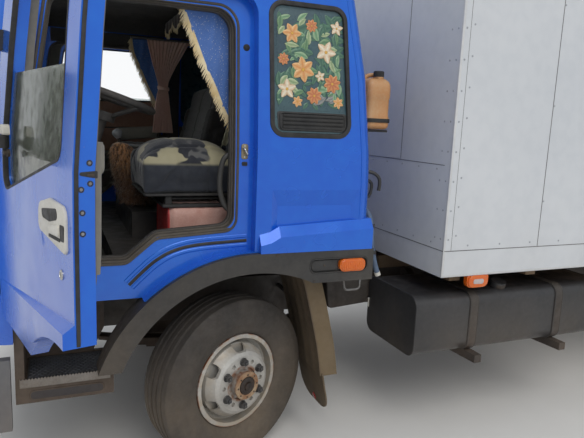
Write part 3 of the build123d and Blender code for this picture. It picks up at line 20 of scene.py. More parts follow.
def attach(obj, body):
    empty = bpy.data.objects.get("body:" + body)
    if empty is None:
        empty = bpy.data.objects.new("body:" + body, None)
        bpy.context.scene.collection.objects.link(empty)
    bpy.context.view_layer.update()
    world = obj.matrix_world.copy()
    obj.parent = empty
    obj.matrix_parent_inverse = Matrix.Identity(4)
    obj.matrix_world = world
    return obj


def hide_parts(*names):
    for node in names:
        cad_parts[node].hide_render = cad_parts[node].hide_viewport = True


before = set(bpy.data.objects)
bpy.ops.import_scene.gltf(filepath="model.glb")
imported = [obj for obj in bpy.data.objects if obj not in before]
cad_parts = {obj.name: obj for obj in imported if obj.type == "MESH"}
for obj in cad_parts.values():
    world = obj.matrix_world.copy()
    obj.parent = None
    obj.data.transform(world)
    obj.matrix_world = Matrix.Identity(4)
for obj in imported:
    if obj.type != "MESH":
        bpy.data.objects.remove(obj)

LOG = logging.getLogger("truck")
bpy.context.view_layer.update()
MM = 0.001
SHIFT = np.array([2667.2, -317.9, 0])
IMAGE_WIDTH = 584
MERGE_WITHIN = 2e-6
NO_LENGTH = 1e-7
FRINGE_STEP = 5.4

Colour = tuple[float, float, float]
Array = np.ndarray
Object = bpy.types.Object
Socket = bpy.types.NodeSocket
Lay = Callable[[Array, Array, Array], Array]

# The cab's form by level: half width and rear limit
LEVELS = (770, 1400, 1550, 1900, 2260, 2350, 2400, 2425)
HALF_WIDTHS = (1064, 1064, 1062, 1037, 1004, 955, 880, 760)
REAR_XS = (-592, -592, -585, -555, -490, -440, -360, -240)

HINGE = np.array([1025, 1033])
DOOR_OPEN = 75.7
ARCH_Z = 360
STEER_AT_REST = math.radians(20.5)
REAR_GUARD_X = -4744
REAR_DOOR_X = -6682.5


class Side(Enum):
    """Which side of the truck a piece is on."""

    LEFT = 1
    RIGHT = -1

    @property
    def word(self) -> str:
        """The side's name as the bodies spell it."""
        return self.name.lower()


@dataclass(frozen=True)
class Placing:
    """Takes layout points of the left-hand side to their place on the truck."""

    side: Side = Side.LEFT
    swing: float = 0

    def __call__(self, points: Array) -> Array:
        """Turn about the door hinge, mirror to the side, shift to the part's origin, to metres.

        Args:
            points: (n, 3) layout points in millimetres.

        Returns:
            (n, 3) points in metres.
        """
        moved = points.astype(float).copy()
        if self.swing:
            angle = math.radians(self.swing)
            arm = moved[:, :2] - HINGE
            moved[:, 0] = HINGE[0] + arm[:, 0] * math.cos(angle) - arm[:, 1] * math.sin(angle)
            moved[:, 1] = HINGE[1] + arm[:, 0] * math.sin(angle) + arm[:, 1] * math.cos(angle)
        moved[:, 1] *= self.side.value
        return (moved + SHIFT) * MM


# Shapes as arrays

@dataclass
class Shape:
    """A mesh in the making: layout points, and faces that index them."""

    points: Array
    faces: list
    lay: Array | None = None
    paint: Array | None = None

    def __add__(self, other: "Shape") -> "Shape":
        """Both shapes in one."""
        count = len(self.points)
        faces = self.faces + [[i + count for i in face] for face in other.faces]
        both = [None if a is None or b is None else np.concatenate([a, b]) for a, b in ((self.lay, other.lay),
            (self.paint, other.paint))]
        return Shape(np.concatenate([self.points, other.points]), faces, *both)


def joined(shapes: Iterable[Shape]) -> Shape:
    """Several shapes in one.

    Args:
        shapes: The shapes, at least one.

    Returns:
        One shape with all their faces.
    """
    shapes = list(shapes)
    starts = np.cumsum([0] + [len(s.points) for s in shapes[:-1]])
    faces = [[i + int(start) for i in face] for s, start in zip(shapes, starts) for face in s.faces]
    extra = [np.concatenate([getattr(s, key) for s in shapes]) if getattr(shapes[0], key) is not None else None
        for key in ("lay", "paint")]
    return Shape(np.concatenate([s.points for s in shapes]), faces, *extra)


def lattice(points: Array, wrap_rows: bool = False, wrap_columns: bool = False, caps: bool = False) -> Shape:
    """Quads between neighbouring points of a grid: each face joins (i, j), (i, j+1), (i+1, j+1), (i+1, j).

    Args:
        points: (rows, columns, 3) array of places.
        wrap_rows: Whether the last row joins the first.
        wrap_columns: Whether the last column joins the first.
        caps: Whether a face closes the first and the last row.

    Returns:
        The surface.
    """
    rows, columns = points.shape[:2]
    i = np.arange(rows if wrap_rows else rows - 1)[:, None]
    j = np.arange(columns if wrap_columns else columns - 1)[None, :]
    ahead, beside = (i + 1) % rows, (j + 1) % columns
    corners = [i * columns + j, i * columns + beside, ahead * columns + beside, ahead * columns + j]
    faces = np.stack(np.broadcast_arrays(*corners), -1).reshape(-1, 4).tolist()
    if caps:
        faces.append(list(range(columns))[::-1])
        faces.append(list(range((rows - 1) * columns, rows * columns)))
    return Shape(points.reshape(-1, 3), faces)


def tube(rings: Array) -> Shape:
    """Closed rings joined in order, with a face over the first and the last."""
    return lattice(rings, wrap_columns=True, caps=True)


def xyz(*columns: Array | float) -> Array:
    """Points whose coordinates are arrays, or one value for all of them."""
    return np.stack(np.broadcast_arrays(*columns), -1)


def unit(ways: Array) -> Array:
    """Directions brought to a length of one."""
    return ways / np.linalg.norm(ways, axis=1, keepdims=True)


def turns(count: int) -> Array:
    """Angles in equal steps round a circle."""
    return np.linspace(0, 2 * np.pi, count, endpoint=False)


def rounded(corners: Sequence[tuple[float, float, float]], steps: int = 6, gap: float = 0) -> Array:
    """Points round a closed outline. Each corner is an arc that touches both of its runs, of its own radius.

    Args:
        corners: Rows of (a, b, radius).
        steps: Points on each arc.
        gap: Spacing of the points, when they are to be spread evenly.

    Returns:
        (n, 2) points.
    """
    table = np.array(corners, float)
    here, radius = table[:, :2], table[:, 2:]
    back = np.roll(here, 1, 0) - here
    ahead = np.roll(here, -1, 0) - here
    back = unit(back)
    ahead = unit(ahead)
    half = np.arccos(np.clip((back * ahead).sum(1, keepdims=True), -1, 1)) / 2
    reach = radius / np.tan(half)
    inward = back + ahead
    inward /= np.maximum(np.linalg.norm(inward, axis=1, keepdims=True), 1e-9)
    centre = here + inward * radius / np.sin(half)
    start, end = here + back * reach - centre, here + ahead * reach - centre
    first = np.arctan2(start[:, 1], start[:, 0])
    turn = np.angle(np.exp(1j * (np.arctan2(end[:, 1], end[:, 0]) - first)))
    angle = first[:, None] + turn[:, None] * np.linspace(0, 1, steps)
    arc = centre[:, None] + radius[:, None] * xyz(np.cos(angle), np.sin(angle))
    loop = arc.reshape(-1, 2)
    keep = np.linalg.norm(loop - np.roll(loop, 1, 0), axis=1) > 0.01
    return evenly(loop[keep], gap) if gap else loop[keep]


def rect(a: Sequence[float], b: Sequence[float], radius: float, steps: int = 6, gap: float = 0) -> Array:
    """A rounded rectangle between two pairs of limits."""
    corners = [(a[0], b[0], radius), (a[1], b[0], radius), (a[1], b[1], radius), (a[0], b[1], radius)]
    return rounded(corners, steps, gap)


def evenly(points: Array, step: float, closed: bool = True) -> Array:
    """The same line with points a step apart, by straight runs between the old ones.

    Args:
        points: (n, d) points.
        step: Spacing in millimetres.
        closed: Whether the last point joins the first.

    Returns:
        (m, d) points.
    """
    line = np.vstack([points, points[:1]]) if closed else points
    reach = np.concatenate([[0], np.cumsum(np.linalg.norm(np.diff(line, axis=0), axis=1))])
    count = max(int(round(reach[-1] / step)), 3)
    at = np.linspace(0, reach[-1], count, endpoint=not closed)
    return np.stack([np.interp(at, reach, column) for column in line.T], -1)


def inset(outline: Array, amount: float) -> Array:
    """A closed outline moved inwards, each point along the mean normal of its two runs."""
    run = np.roll(outline, -1, 0) - np.roll(outline, 1, 0)
    normal = xyz(-run[:, 1], run[:, 0])
    normal /= np.maximum(np.linalg.norm(normal, axis=1, keepdims=True), 1e-9)
    after = np.roll(outline, -1, 0)
    area = (outline[:, 0] * after[:, 1] - after[:, 0] * outline[:, 1]).sum()
    return outline + normal * amount * math.copysign(1, area)


def flank_y(z: Array) -> Array:
    """Half width of the cab at a level, by straight runs between its levels."""
    return np.interp(z, LEVELS, HALF_WIDTHS)


def on_flank(depth: float = 0) -> Lay:
    """Lays (x, z, height) on the cab's side, set in by a depth, with height measured outwards."""
    return lambda a, b, h: xyz(a, flank_y(b) - depth + h, b)


def across_y(y: float) -> Lay:
    """Lays (x, z, height) on a plane across y."""
    return lambda a, b, h: xyz(a, y + h, b)


def across_x(x: float) -> Lay:
    """Lays (y, z, height) on a plane across x."""
    return lambda a, b, h: xyz(x + h, a, b)


def across_z(z: float) -> Lay:
    """Lays (x, y, height) on a level plane."""
    return lambda a, b, h: xyz(a, b, z + h)


def slab(outline: Array, low: float, high: float, lay: Lay, edge: float = 0) -> Shape:
    """A plate: the outline at its low and high faces, the high one set in by quarter-circle steps at its edge.

    Args:
        outline: (n, 2) closed outline.
        low: Height of the hidden face.
        high: Height of the shown face.
        lay: Where the outline lies.
        edge: Radius of the shown face's edge.

    Returns:
        A closed shape.
    """
    rings = [(0, low)]
    if edge:
        for turn in np.linspace(0, math.pi / 2, 4):
            rings.append((edge * (1 - math.cos(turn)), high - edge * (1 - math.sin(turn))))
    else:
        rings.append((0, high))
    rows = []
    for amount, height in rings:
        ring = inset(outline, amount) if amount else outline
        rows.append(lay(*ring.T, height))
    return tube(np.stack(rows))


def plate(front: Array, back: Array) -> Shape:
    """Two grids of one layout as the faces of a plate, joined round their edge.

    Args:
        front: (rows, columns, 3) places of the shown face.
        back: The same for the hidden face.

    Returns:
        A closed shape.
    """
    rows, columns = front.shape[:2]
    shape = lattice(front) + lattice(back[:, ::-1])
    edge = np.concatenate([np.arange(columns), np.arange(1, rows) * columns + columns - 1,
        (rows - 1) * columns + np.arange(columns - 2, -1, -1), np.arange(rows - 2, 0, -1) * columns])
    mirror = rows * columns + (edge // columns) * columns + (columns - 1 - edge % columns)
    shape.faces += np.stack([edge, np.roll(edge, -1), np.roll(mirror, -1), mirror], -1).tolist()
    return shape


def block(x: Sequence[float], y: Sequence[float], z: Sequence[float], edge: float = 2) -> Shape:
    """A bar between pairs of limits, with rounded upright corners and eased ends."""
    corner = min(edge, (x[1] - x[0]) / 2.5, (y[1] - y[0]) / 2.5)
    plan = rect(x, y, corner, 4)
    ease = min(corner, (z[1] - z[0]) / 2.5) * 0.7
    rows = [(ease, z[0]), (0, z[0] + ease), (0, z[1] - ease), (ease, z[1])]
    rings = [across_z(level)(*inset(plan, amount).T, 0) for amount, level in rows]
    return tube(np.stack(rings))


def carried(path: Sequence, section: Array, up: Sequence[float] = (0, 1, 0), closed: bool = False) -> Shape:
    """A section carried along a path: its point (a, b) goes to path + a * across + b * up.

    Across is the path's direction crossed with up, and up is squared to both.

    Args:
        path: (n, 3) points.
        section: (m, 2) closed outline.
        up: A direction that no part of the path follows.
        closed: Whether the path closes.

    Returns:
        A closed shape.
    """
    path = np.array(path, float)
    if closed:
        ahead = np.roll(path, -1, 0) - np.roll(path, 1, 0)
    else:
        ahead = np.gradient(path, axis=0)
    ahead = unit(ahead)
    across = unit(np.cross(ahead, np.array(up, float)))
    upright = np.cross(across, ahead)
    a = section[None, :, 0, None] * across[:, None]
    b = section[None, :, 1, None] * upright[:, None]
    return lattice(path[:, None] + (a + b), wrap_rows=closed, wrap_columns=True, caps=not closed)


def circle(radius: float, count: int = 10, squash: float = 1) -> Array:
    """Points round a circle, or an ellipse when squashed."""
    angle = turns(count)
    return xyz(radius * np.cos(angle), radius * squash * np.sin(angle))


def smooth_line(points: Sequence[Sequence[float]], count: int = 40) -> Array:
    """A line through points: each stretch is the Catmull-Rom cubic of its four neighbours."""
    p = np.array(points, float)
    p = np.vstack([2 * p[0] - p[1], p, 2 * p[-1] - p[-2]])
    t = np.linspace(0, len(p) - 3 - 1e-9, count)
    i = t.astype(int)
    u = (t - i)[:, None]
    a, b, c, d = p[i], p[i + 1], p[i + 2], p[i + 3]
    return 0.5 * (2 * b + (c - a) * u + (2 * a - 5 * b + 4 * c - d) * u ** 2 + (3 * b - a - 3 * c + d) * u ** 3)


@dataclass(frozen=True)
class Axle:
    """An axis with two directions square to it."""

    centre: tuple[float, float, float]
    along: tuple[float, float, float]

    def frame(self) -> tuple[Array, Array, Array, Array]:
        """Centre, axis and the two directions across it."""
        along = np.array(self.along, float)
        along /= np.linalg.norm(along)
        helper = np.array([0, 0, 1]) if abs(along[2]) < 0.9 else np.array([0, 1, 0])
        first = helper - along * helper.dot(along)
        first /= np.linalg.norm(first)
        return np.array(self.centre, float), along, first, np.cross(along, first)

    def at(self, radius: Array, turn: Array, offset: Array) -> Array:
        """Places from cylinder coordinates: centre + offset along + radius round."""
        centre, along, first, second = self.frame()
        radius, turn, offset = np.broadcast_arrays(radius, turn, offset)
        return (centre + offset[..., None] * along + (radius * np.cos(turn))[..., None] * first
            + (radius * np.sin(turn))[..., None] * second)

    def turned(self, profile: Sequence[Sequence[float]], segments: int = 32, loop: bool = False) -> Shape:
        """A profile of (radius, offset) turned round the axis.

        Args:
            profile: Points from pole to pole, or a closed loop.
            segments: Steps round the axis.
            loop: Whether the profile's last point joins its first.

        Returns:
            A closed shape.
        """
        rows = np.array(profile, float)
        turn = turns(segments)
        points = self.at(rows[:, :1], turn[None, :], rows[:, 1:2])
        return lattice(points, wrap_rows=loop, wrap_columns=True)


def heads(places: Sequence, along: Sequence[float], radius: float, height: float, segments: int = 8) -> Shape:
    """Domed rivet or screw heads: one small dome copied to every place.

    Args:
        places: (n, 3) places.
        along: Direction the heads face.
        radius: Head radius.
        height: Head height.
        segments: Steps round each head.

    Returns:
        All heads in one shape.
    """
    dome = Axle((0, 0, 0), tuple(along)).turned([(0, -0.6), (radius, -0.6), (radius * 0.86, height * 0.62),
        (0, height)], segments)
    points = (np.array(places)[:, None] + dome.points[None]).reshape(-1, 3)
    faces = (np.array(dome.faces)[None] + (np.arange(len(places)) * len(dome.points))[:, None, None]).reshape(-1, 4)
    return Shape(points, faces.tolist())


# Finishes

class Graph:
    """A material's node tree, with short words for the nodes that the finishes use."""

    def __init__(self, name: str) -> None:
        """Start an empty tree under a name."""
        self.material = bpy.data.materials.new(name)
        self.material.use_nodes = True
        self.tree = self.material.node_tree
        self.tree.nodes.clear()
        self.place = self.node("TexCoord").outputs["Object"]

    def node(self, kind: str, values: dict | None = None, **settings: object) -> bpy.types.Node:
        """Add a node.

        Args:
            kind: Node type without its ShaderNode start.
            values: Socket name or number to a constant or another node's socket.
            **settings: Properties of the node.

        Returns:
            The node.
        """
        node = self.tree.nodes.new("ShaderNode" + kind)
        for key, value in settings.items():
            setattr(node, key, value)
        for key, value in (values or {}).items():
            if isinstance(value, Socket):
                self.tree.links.new(value, node.inputs[key])
            elif isinstance(value, tuple) and len(value) == 3 and node.inputs[key].type == "RGBA":
                node.inputs[key].default_value = (*value, 1)
            else:
                node.inputs[key].default_value = value
        return node

    def mix(self, amount: object, first: object, second: object) -> Socket:
        """Blend of two colours."""
        return self.node("Mix", {0: amount, 6: first, 7: second}, data_type="RGBA").outputs[2]

    def maths(self, operation: str, first: object, second: object = 0) -> Socket:
        """One sum on two numbers."""
        return self.node("Math", {0: first, 1: second}, operation=operation).outputs[0]

    def spread(self, value: object, low: float, high: float, start: float = 0, end: float = 1) -> Socket:
        """A value taken smoothly from one range to another."""
        return self.node("MapRange", {0: value, 1: low, 2: high, 3: start, 4: end},
            interpolation_type="SMOOTHSTEP").outputs[0]

    def stretched(self, scale: Sequence[float], vector: object = None) -> Socket:
        """Coordinates scaled along each axis."""
        return self.node("Mapping", {"Vector": vector or self.place, "Scale": tuple(scale)}).outputs[0]

    def noise(self, scale: float, detail: float = 3, stretch: Sequence[float] = (1, 1, 1)) -> Socket:
        """Cloudy noise from 0 to 1."""
        return self.node("TexNoise", {"Vector": self.stretched(stretch), "Scale": scale, "Detail": detail}).outputs[0]

    def cells(self, scale: float, feature: str = "F1", stretch: Sequence[float] = (1, 1, 1)) -> Socket:
        """Distance to the nearest of scattered points."""
        return self.node("TexVoronoi", {"Vector": self.stretched(stretch), "Scale": scale}, feature=feature).outputs[0]

    def level(self) -> Socket:
        """Height above the ground."""
        return self.node("SeparateXYZ", {0: self.place}).outputs[2]

    def attribute(self, name: str) -> bpy.types.Node:
        """One of the mesh's own attributes."""
        return self.node("Attribute", attribute_name=name)


@dataclass(frozen=True)
class Finish:
    """A surface whose colour drifts to a second one in patches, with a grain, and dust that thickens low down."""

    name: str
    colour: Colour
    drift: Colour
    patch: float = 2
    rough: tuple[float, float] = (0.45, 0.65)
    metal: float = 0
    coat: float = 0
    sheen: float = 0
    clear: float = 0
    grain: float = 300
    relief: float = 0.0003
    dust: Colour = (0.20, 0.15, 0.11)
    dusty: float = 0
    dust_top: float = 1.2
    specks: float = 0
    slot: str = ""

    def colour_field(self, g: Graph) -> Socket:
        """Base colour before dust: two colours mixed by cloudy patches and fine mottling."""
        patches = g.spread(g.noise(self.patch, 4), 0.3, 0.7)
        fine = g.spread(g.noise(self.patch * 17, 2), 0.35, 0.75, 0, 0.35)
        return g.mix(g.maths("ADD", g.maths("MULTIPLY", patches, 0.75), fine), self.colour, self.drift)

    def relief_field(self, g: Graph) -> Socket:
        """Height of the grain."""
        return g.noise(self.grain, 3)

    def dust_field(self, g: Graph) -> Socket:
        """How much dust covers the surface: patchy, full at the ground and gone at its top level."""
        low = g.spread(g.level(), self.dust_top, 0.15)
        cloud = g.spread(g.noise(3.1, 5, (1, 1, 0.6)), 0.30, 0.68, 0.25, 1)
        return g.maths("MULTIPLY", g.maths("MULTIPLY", low, cloud), self.dusty)

    def build(self) -> bpy.types.Material:
        """Make the material.

        Returns:
            A material whose constants stand on the shader and whose colour, roughness and relief are nodes.
        """
        g = Graph(self.name)
        colour = self.colour_field(g)
        roughness = g.spread(g.noise(self.patch * 5, 3), 0.3, 0.7, *self.rough)
        if self.specks:
            speck = g.spread(g.cells(46), 0.10, 0.04, 0, self.specks)
            gate = g.spread(g.noise(6, 2), 0.5, 0.62)
            colour = g.mix(g.maths("MULTIPLY", speck, gate), colour, self.dust)
        if self.dusty:
            dust = self.dust_field(g)
            colour = g.mix(dust, colour, g.mix(g.noise(40, 3), self.dust, tuple(c * 0.6 for c in self.dust)))
            roughness = g.maths("MAXIMUM", roughness, g.maths("MULTIPLY", dust, 0.85))
        bump = g.node("Bump", {"Height": self.relief_field(g), "Strength": 0.6, "Distance": self.relief})
        shader = g.node("BsdfPrincipled", {"Base Color": colour, "Roughness": roughness, "Normal": bump.outputs[0],
            "Metallic": self.metal, "Coat Weight": self.coat, "Coat Roughness": 0.12, "Sheen Weight": self.sheen,
            "Transmission Weight": self.clear})
        g.node("OutputMaterial", {0: shader.outputs[0]})
        return g.material


@dataclass(frozen=True)
class Woven(Finish):
    """Cloth: warp and weft threads crossing, on object coordinates."""

    threads: float = 420

    def relief_field(self, g: Graph) -> Socket:
        """Threads as two crossed sine waves, the higher of them on top."""
        waves = [g.node("TexWave", {"Vector": g.place, "Scale": self.threads / 6.3, "Distortion": 1.5, "Detail": 1},
            bands_direction=axis).outputs[1] for axis in ("X", "Y", "Z")]
        return g.maths("MAXIMUM", g.maths("MAXIMUM", waves[0], waves[1]), waves[2])


@dataclass(frozen=True)
class Camouflage(Woven):
    """Dark blotched cover cloth: patches of several colours with broken edges."""

    blotches: tuple[Colour, ...] = ((0.10, 0.10, 0.10), (0.010, 0.012, 0.02), (0.34, 0.31, 0.20), (0.012, 0.014, 0.022))
    shown: tuple[float, ...] = (0.50, 0.52, 0.505, 0.56)
    border: float = 0

    def colour_field(self, g: Graph) -> Socket:
        """Each further colour shows where its own noise is high."""
        colour: object = self.colour
        above = g.spread(g.level(), self.border - 0.012, self.border + 0.006)
        for number, (blotch, start) in enumerate(zip(self.blotches, self.shown)):
            shifted = g.node("Mapping", {"Vector": g.place, "Location": (number * 3.7, number * 1.9, number * 2.3),
                "Scale": (1, 0.8, 1.2)}).outputs[0]
            field_ = g.node("TexNoise", {"Vector": shifted, "Scale": 6.2, "Detail": 2, "Roughness": 0.5}).outputs[0]
            colour = g.mix(g.maths("MULTIPLY", g.spread(field_, start, start + 0.025), above), colour, blotch)
        return colour


@dataclass(frozen=True)
class Sprigged(Woven):
    """Printed curtain cloth: small pale flecks scattered on a ground, on the cloth's own lay."""

    fleck: Colour = (0.75, 0.62, 0.42)
    fleck_scale: float = 38
    fleck_size: float = 0.16

    def colour_field(self, g: Graph) -> Socket:
        """Ground colours with flecks where the nearest scattered point is close."""
        ground = super().colour_field(g)
        lay = g.attribute("lay").outputs["Vector"]
        warped = g.node("TexVoronoi", {"Vector": lay, "Scale": self.fleck_scale}).outputs[0]
        second = g.node("TexVoronoi", {"Vector": g.stretched((1.7, 1.3, 1), lay), "Scale": self.fleck_scale}).outputs[0]
        flecks = g.maths("MAXIMUM", g.spread(warped, self.fleck_size, self.fleck_size * 0.6),
            g.spread(second, self.fleck_size * 0.7, self.fleck_size * 0.4))
        return g.mix(g.maths("MULTIPLY", flecks, 0.8), ground, self.fleck)


@dataclass(frozen=True)
class Furry(Finish):
    """Pile that lies in locks: stretched noise for colour and deep relief."""

    def colour_field(self, g: Graph) -> Socket:
        """Light tips where the locks stand up, fewer of them low down."""
        tips = g.maths("MULTIPLY", g.spread(self.relief_field(g), 0.36, 0.6), g.spread(g.level(), 1.30, 1.50, 0.12, 1))
        return g.mix(tips, self.colour, self.drift)

    def relief_field(self, g: Graph) -> Socket:
        """Long noise across short: locks of hair."""
        return g.noise(self.grain, 5, (1, 1, 0.25))


@dataclass(frozen=True)
class Painted(Finish):
    """Colours laid on by hand, read from the mesh's own paint."""

    def colour_field(self, g: Graph) -> Socket:
        """The paint, broken by brush marks."""
        paint = g.attribute("paint").outputs["Color"]
        brush = g.spread(g.noise(120, 4, (1, 1, 2.2)), 0.35, 0.7, 0, 0.35)
        return g.mix(brush, paint, g.mix(0.5, paint, self.drift))


@dataclass(frozen=True)
class WheelPaint(Finish):
    """Sprayed wheel: dust and rust in rings about its own axle."""

    centre: Colour = (0, 0, 0)
    axis: Colour = (0, 1, 0)
    rust: Colour = (0.22, 0.07, 0.02)

    def colour_field(self, g: Graph) -> Socket:
        """Rust where the distance from the axle is that of the flange or the hub, broken by noise."""
        arm = g.node("VectorMath", {0: g.place, 1: self.centre}, operation="SUBTRACT").outputs[0]
        along = g.node("VectorMath", {0: arm, 1: self.axis}, operation="DOT_PRODUCT").outputs[1]
        shaft = g.node("VectorMath", {0: self.axis, 3: along}, operation="SCALE").outputs[0]
        spoke = g.node("VectorMath", {0: arm, 1: shaft}, operation="SUBTRACT").outputs[0]
        radius = g.node("VectorMath", {0: spoke}, operation="LENGTH").outputs[1]
        colour = super().colour_field(g)
        cloud = g.noise(26, 5)
        rings = ((0.200, 0.222, 0.62), (0.229, 0.2355, 0.95), (0.098, 0.084, 0.9), (0.150, 0.176, 0.45))
        for start, end, amount in rings:
            ring = g.spread(radius, start, end)
            if amount < 0.7:
                ring = g.maths("MULTIPLY", ring, g.spread(radius, end + 0.02, end))
            tint = self.rust if amount > 0.7 else self.dust
            ring = g.maths("MULTIPLY", ring, g.spread(cloud, 0.36, 0.62, 0.1, amount))
            colour = g.mix(ring, colour, tint)
        return colour


class Finishes:
    """The truck's finishes, each made once."""

    made: dict[str, bpy.types.Material] = {}

    PAINT = Finish("cab_blue", (0.001, 0.100, 0.60), (0.004, 0.140, 0.66), 1.1, (0.16, 0.30), 0.25, 0.5, grain=60,
        relief=0.0002, dust=(0.22, 0.17, 0.14), dusty=0.55, dust_top=1.25, specks=0.25, slot="cab_paint")
    TRIM = Finish("interior_grey", (0.13, 0.125, 0.115), (0.19, 0.18, 0.16), 3, (0.55, 0.75), grain=420, relief=0.0006,
        dusty=0.3, dust_top=1.9)
    DASH = Finish("dash_brown_grey", (0.035, 0.033, 0.032), (0.07, 0.062, 0.055), 4, (0.5, 0.7), grain=520,
        relief=0.0006, slot="interior_trim")
    PLASTIC = Finish("dark_plastic", (0.022, 0.023, 0.025), (0.045, 0.043, 0.04), 4, (0.45, 0.7), grain=700,
        relief=0.0004, dust=(0.20, 0.15, 0.10), dusty=0.75, dust_top=1.25)
    RUBBER = Finish("black_rubber", (0.012, 0.012, 0.013), (0.03, 0.029, 0.028), 6, (0.5, 0.75), grain=500,
        relief=0.0004, dusty=0.4, dust_top=1.4, slot="dark_plastic")
    GLASS = Finish("window_glass", (0.72, 0.78, 0.76), (0.66, 0.72, 0.70), 2, (0.02, 0.07), clear=0.92, grain=9,
        relief=0.0002)
    DUSTY_GLASS = Finish("door_glass", (0.30, 0.33, 0.27), (0.22, 0.24, 0.19), 5, (0.05, 0.25), clear=0.75, grain=9,
        relief=0.0002)
    ART_GROUND = Finish("quarter_ground", (0.020, 0.050, 0.070), (0.045, 0.100, 0.115), 5, (0.25, 0.4), coat=0.4,
        grain=30, slot="picture_panel")
    ART = Painted("quarter_paint", (0.1, 0.2, 0.1), (0.03, 0.05, 0.05), 3, (0.3, 0.45), coat=0.4, grain=200,
        slot="picture_panel")
    AMBER = Finish("amber_lens", (0.85, 0.19, 0.008), (0.75, 0.12, 0.004), 9, (0.08, 0.2), coat=0.5, clear=0.25,
        grain=90, relief=0.0012, slot="amber_lamp")
    RED = Finish("red_lens", (0.55, 0.02, 0.012), (0.42, 0.012, 0.01), 9, (0.1, 0.2), coat=0.5, clear=0.2, grain=90,
        relief=0.0012, slot="marker_lamp")
    WHITE_LENS = Finish("clear_lens", (0.80, 0.82, 0.82), (0.70, 0.72, 0.73), 6, (0.04, 0.12), coat=0.4, clear=0.5,
        grain=60, relief=0.0015, slot="lamp_glass")
    TREAD_METAL = Finish("step_metal", (0.30, 0.29, 0.27), (0.16, 0.13, 0.11), 8, (0.35, 0.6), 0.7, grain=120,
        relief=0.001, dusty=0.6, dust_top=1.3)
    SKIRT = Finish("step_skirt", (0.035, 0.027, 0.022), (0.07, 0.05, 0.038), 4, (0.55, 0.8), grain=260, relief=0.0008,
        dust=(0.13, 0.09, 0.06), dusty=0.9, dust_top=1.3, slot="dark_plastic")
    BUMPER = Finish("bumper_grey", (0.10, 0.105, 0.115), (0.15, 0.15, 0.155), 2.5, (0.4, 0.6), grain=400, relief=0.0004,
        dusty=0.7, dust_top=0.9, slot="bumper_paint")
    CHASSIS = Finish("chassis_black", (0.018, 0.018, 0.019), (0.05, 0.045, 0.04), 3.5, (0.45, 0.75), grain=90,
        relief=0.0008, dust=(0.16, 0.11, 0.075), dusty=0.8, dust_top=1.1)
    CAST = Finish("cast_dark", (0.035, 0.033, 0.031), (0.08, 0.06, 0.045), 5, (0.55, 0.85), 0.3, grain=220,
        relief=0.0015, dust=(0.15, 0.10, 0.07), dusty=0.9, dust_top=1.1)
    TANK = Finish("tank_black", (0.020, 0.021, 0.024), (0.042, 0.042, 0.045), 2.2, (0.28, 0.5), grain=45, relief=0.0004,
        dust=(0.135, 0.105, 0.075), dusty=0.85, dust_top=0.95)
    PANEL = Finish("box_sheet", (0.60, 0.62, 0.645), (0.52, 0.545, 0.58), 0.9, (0.38, 0.55), grain=14, relief=0.0006,
        dust=(0.38, 0.33, 0.28), dusty=0.35, dust_top=1.5, specks=0.3, slot="box_panel")
    PANEL_EDGE = Finish("box_moulding", (0.68, 0.68, 0.67), (0.55, 0.56, 0.57), 3, (0.3, 0.5), 0.2, grain=40,
        relief=0.0004, dust=(0.36, 0.31, 0.26), dusty=0.4, dust_top=1.4, slot="box_panel")
    JOINT = Finish("box_joint", (0.10, 0.10, 0.105), (0.16, 0.155, 0.15), 5, (0.6, 0.8), grain=200, slot="box_panel")
    WOOD = Finish("floor_boards", (0.16, 0.10, 0.055), (0.24, 0.16, 0.09), 6, (0.6, 0.8), grain=60, relief=0.002,
        dusty=0.6, dust_top=1.3)
    STEEL = Finish("box_steel", (0.30, 0.31, 0.32), (0.22, 0.20, 0.18), 4, (0.4, 0.6), 0.5, grain=120, relief=0.0008,
        dusty=0.4, dust_top=1.2)
    WHEEL = WheelPaint("wheel_paint", (0.52, 0.51, 0.48), (0.38, 0.375, 0.36), 5, (0.35, 0.6), 0.35, grain=160,
        relief=0.0006, dust=(0.42, 0.33, 0.22), dusty=0.3, dust_top=0.8)
    TYRE = Finish("tyre_rubber", (0.022, 0.021, 0.021), (0.055, 0.048, 0.043), 5, (0.7, 0.9), grain=240, relief=0.0008,
        dust=(0.19, 0.145, 0.10), dusty=0.75, dust_top=1)
    MUD = Finish("mud_rubber", (0.05, 0.036, 0.025), (0.12, 0.085, 0.052), 3, (0.7, 0.9), grain=160, relief=0.0012,
        dust=(0.17, 0.125, 0.075), dusty=0.95, dust_top=1.2)
    SEAT = Camouflage("seat_cover", (0.020, 0.024, 0.034), (0.1, 0.1, 0.1), 6, (0.7, 0.9), sheen=0.3, relief=0.0006,
        border=1.476)
    NUT = Finish("wheel_nut", (0.055, 0.055, 0.058), (0.10, 0.095, 0.09), 20, (0.35, 0.6), 0.4, grain=220,
        relief=0.0008, slot="cast_dark")
    TREAD = Finish("step_tread", (0.030, 0.036, 0.046), (0.075, 0.085, 0.10), 14, (0.3, 0.5), 0.4, grain=260,
        relief=0.001, dust=(0.16, 0.13, 0.10), dusty=0.45, dust_top=1.2, slot="step_metal")
    # Near-black copy of the skirt's plastic for its pressed panel: painted shade of the press's recess.
    STEP_DARK = Finish("step_recess", (0.012, 0.014, 0.022), (0.03, 0.028, 0.03), 5, (0.5, 0.7), grain=260,
        dust=(0.10, 0.07, 0.05), dusty=0.5, dust_top=1.2, slot="dark_plastic")
    SILL_RUBBER = Finish("sill_rubber", (0.055, 0.048, 0.040), (0.095, 0.080, 0.062), 5, (0.6, 0.8), grain=400,
        relief=0.0005, dusty=0.3, dust_top=1.4, slot="dark_plastic")
    DOOR_TRIM = Finish("door_trim_beige", (0.20, 0.19, 0.165), (0.26, 0.24, 0.20), 3, (0.5, 0.7), grain=420,
        relief=0.0005, slot="interior_trim")
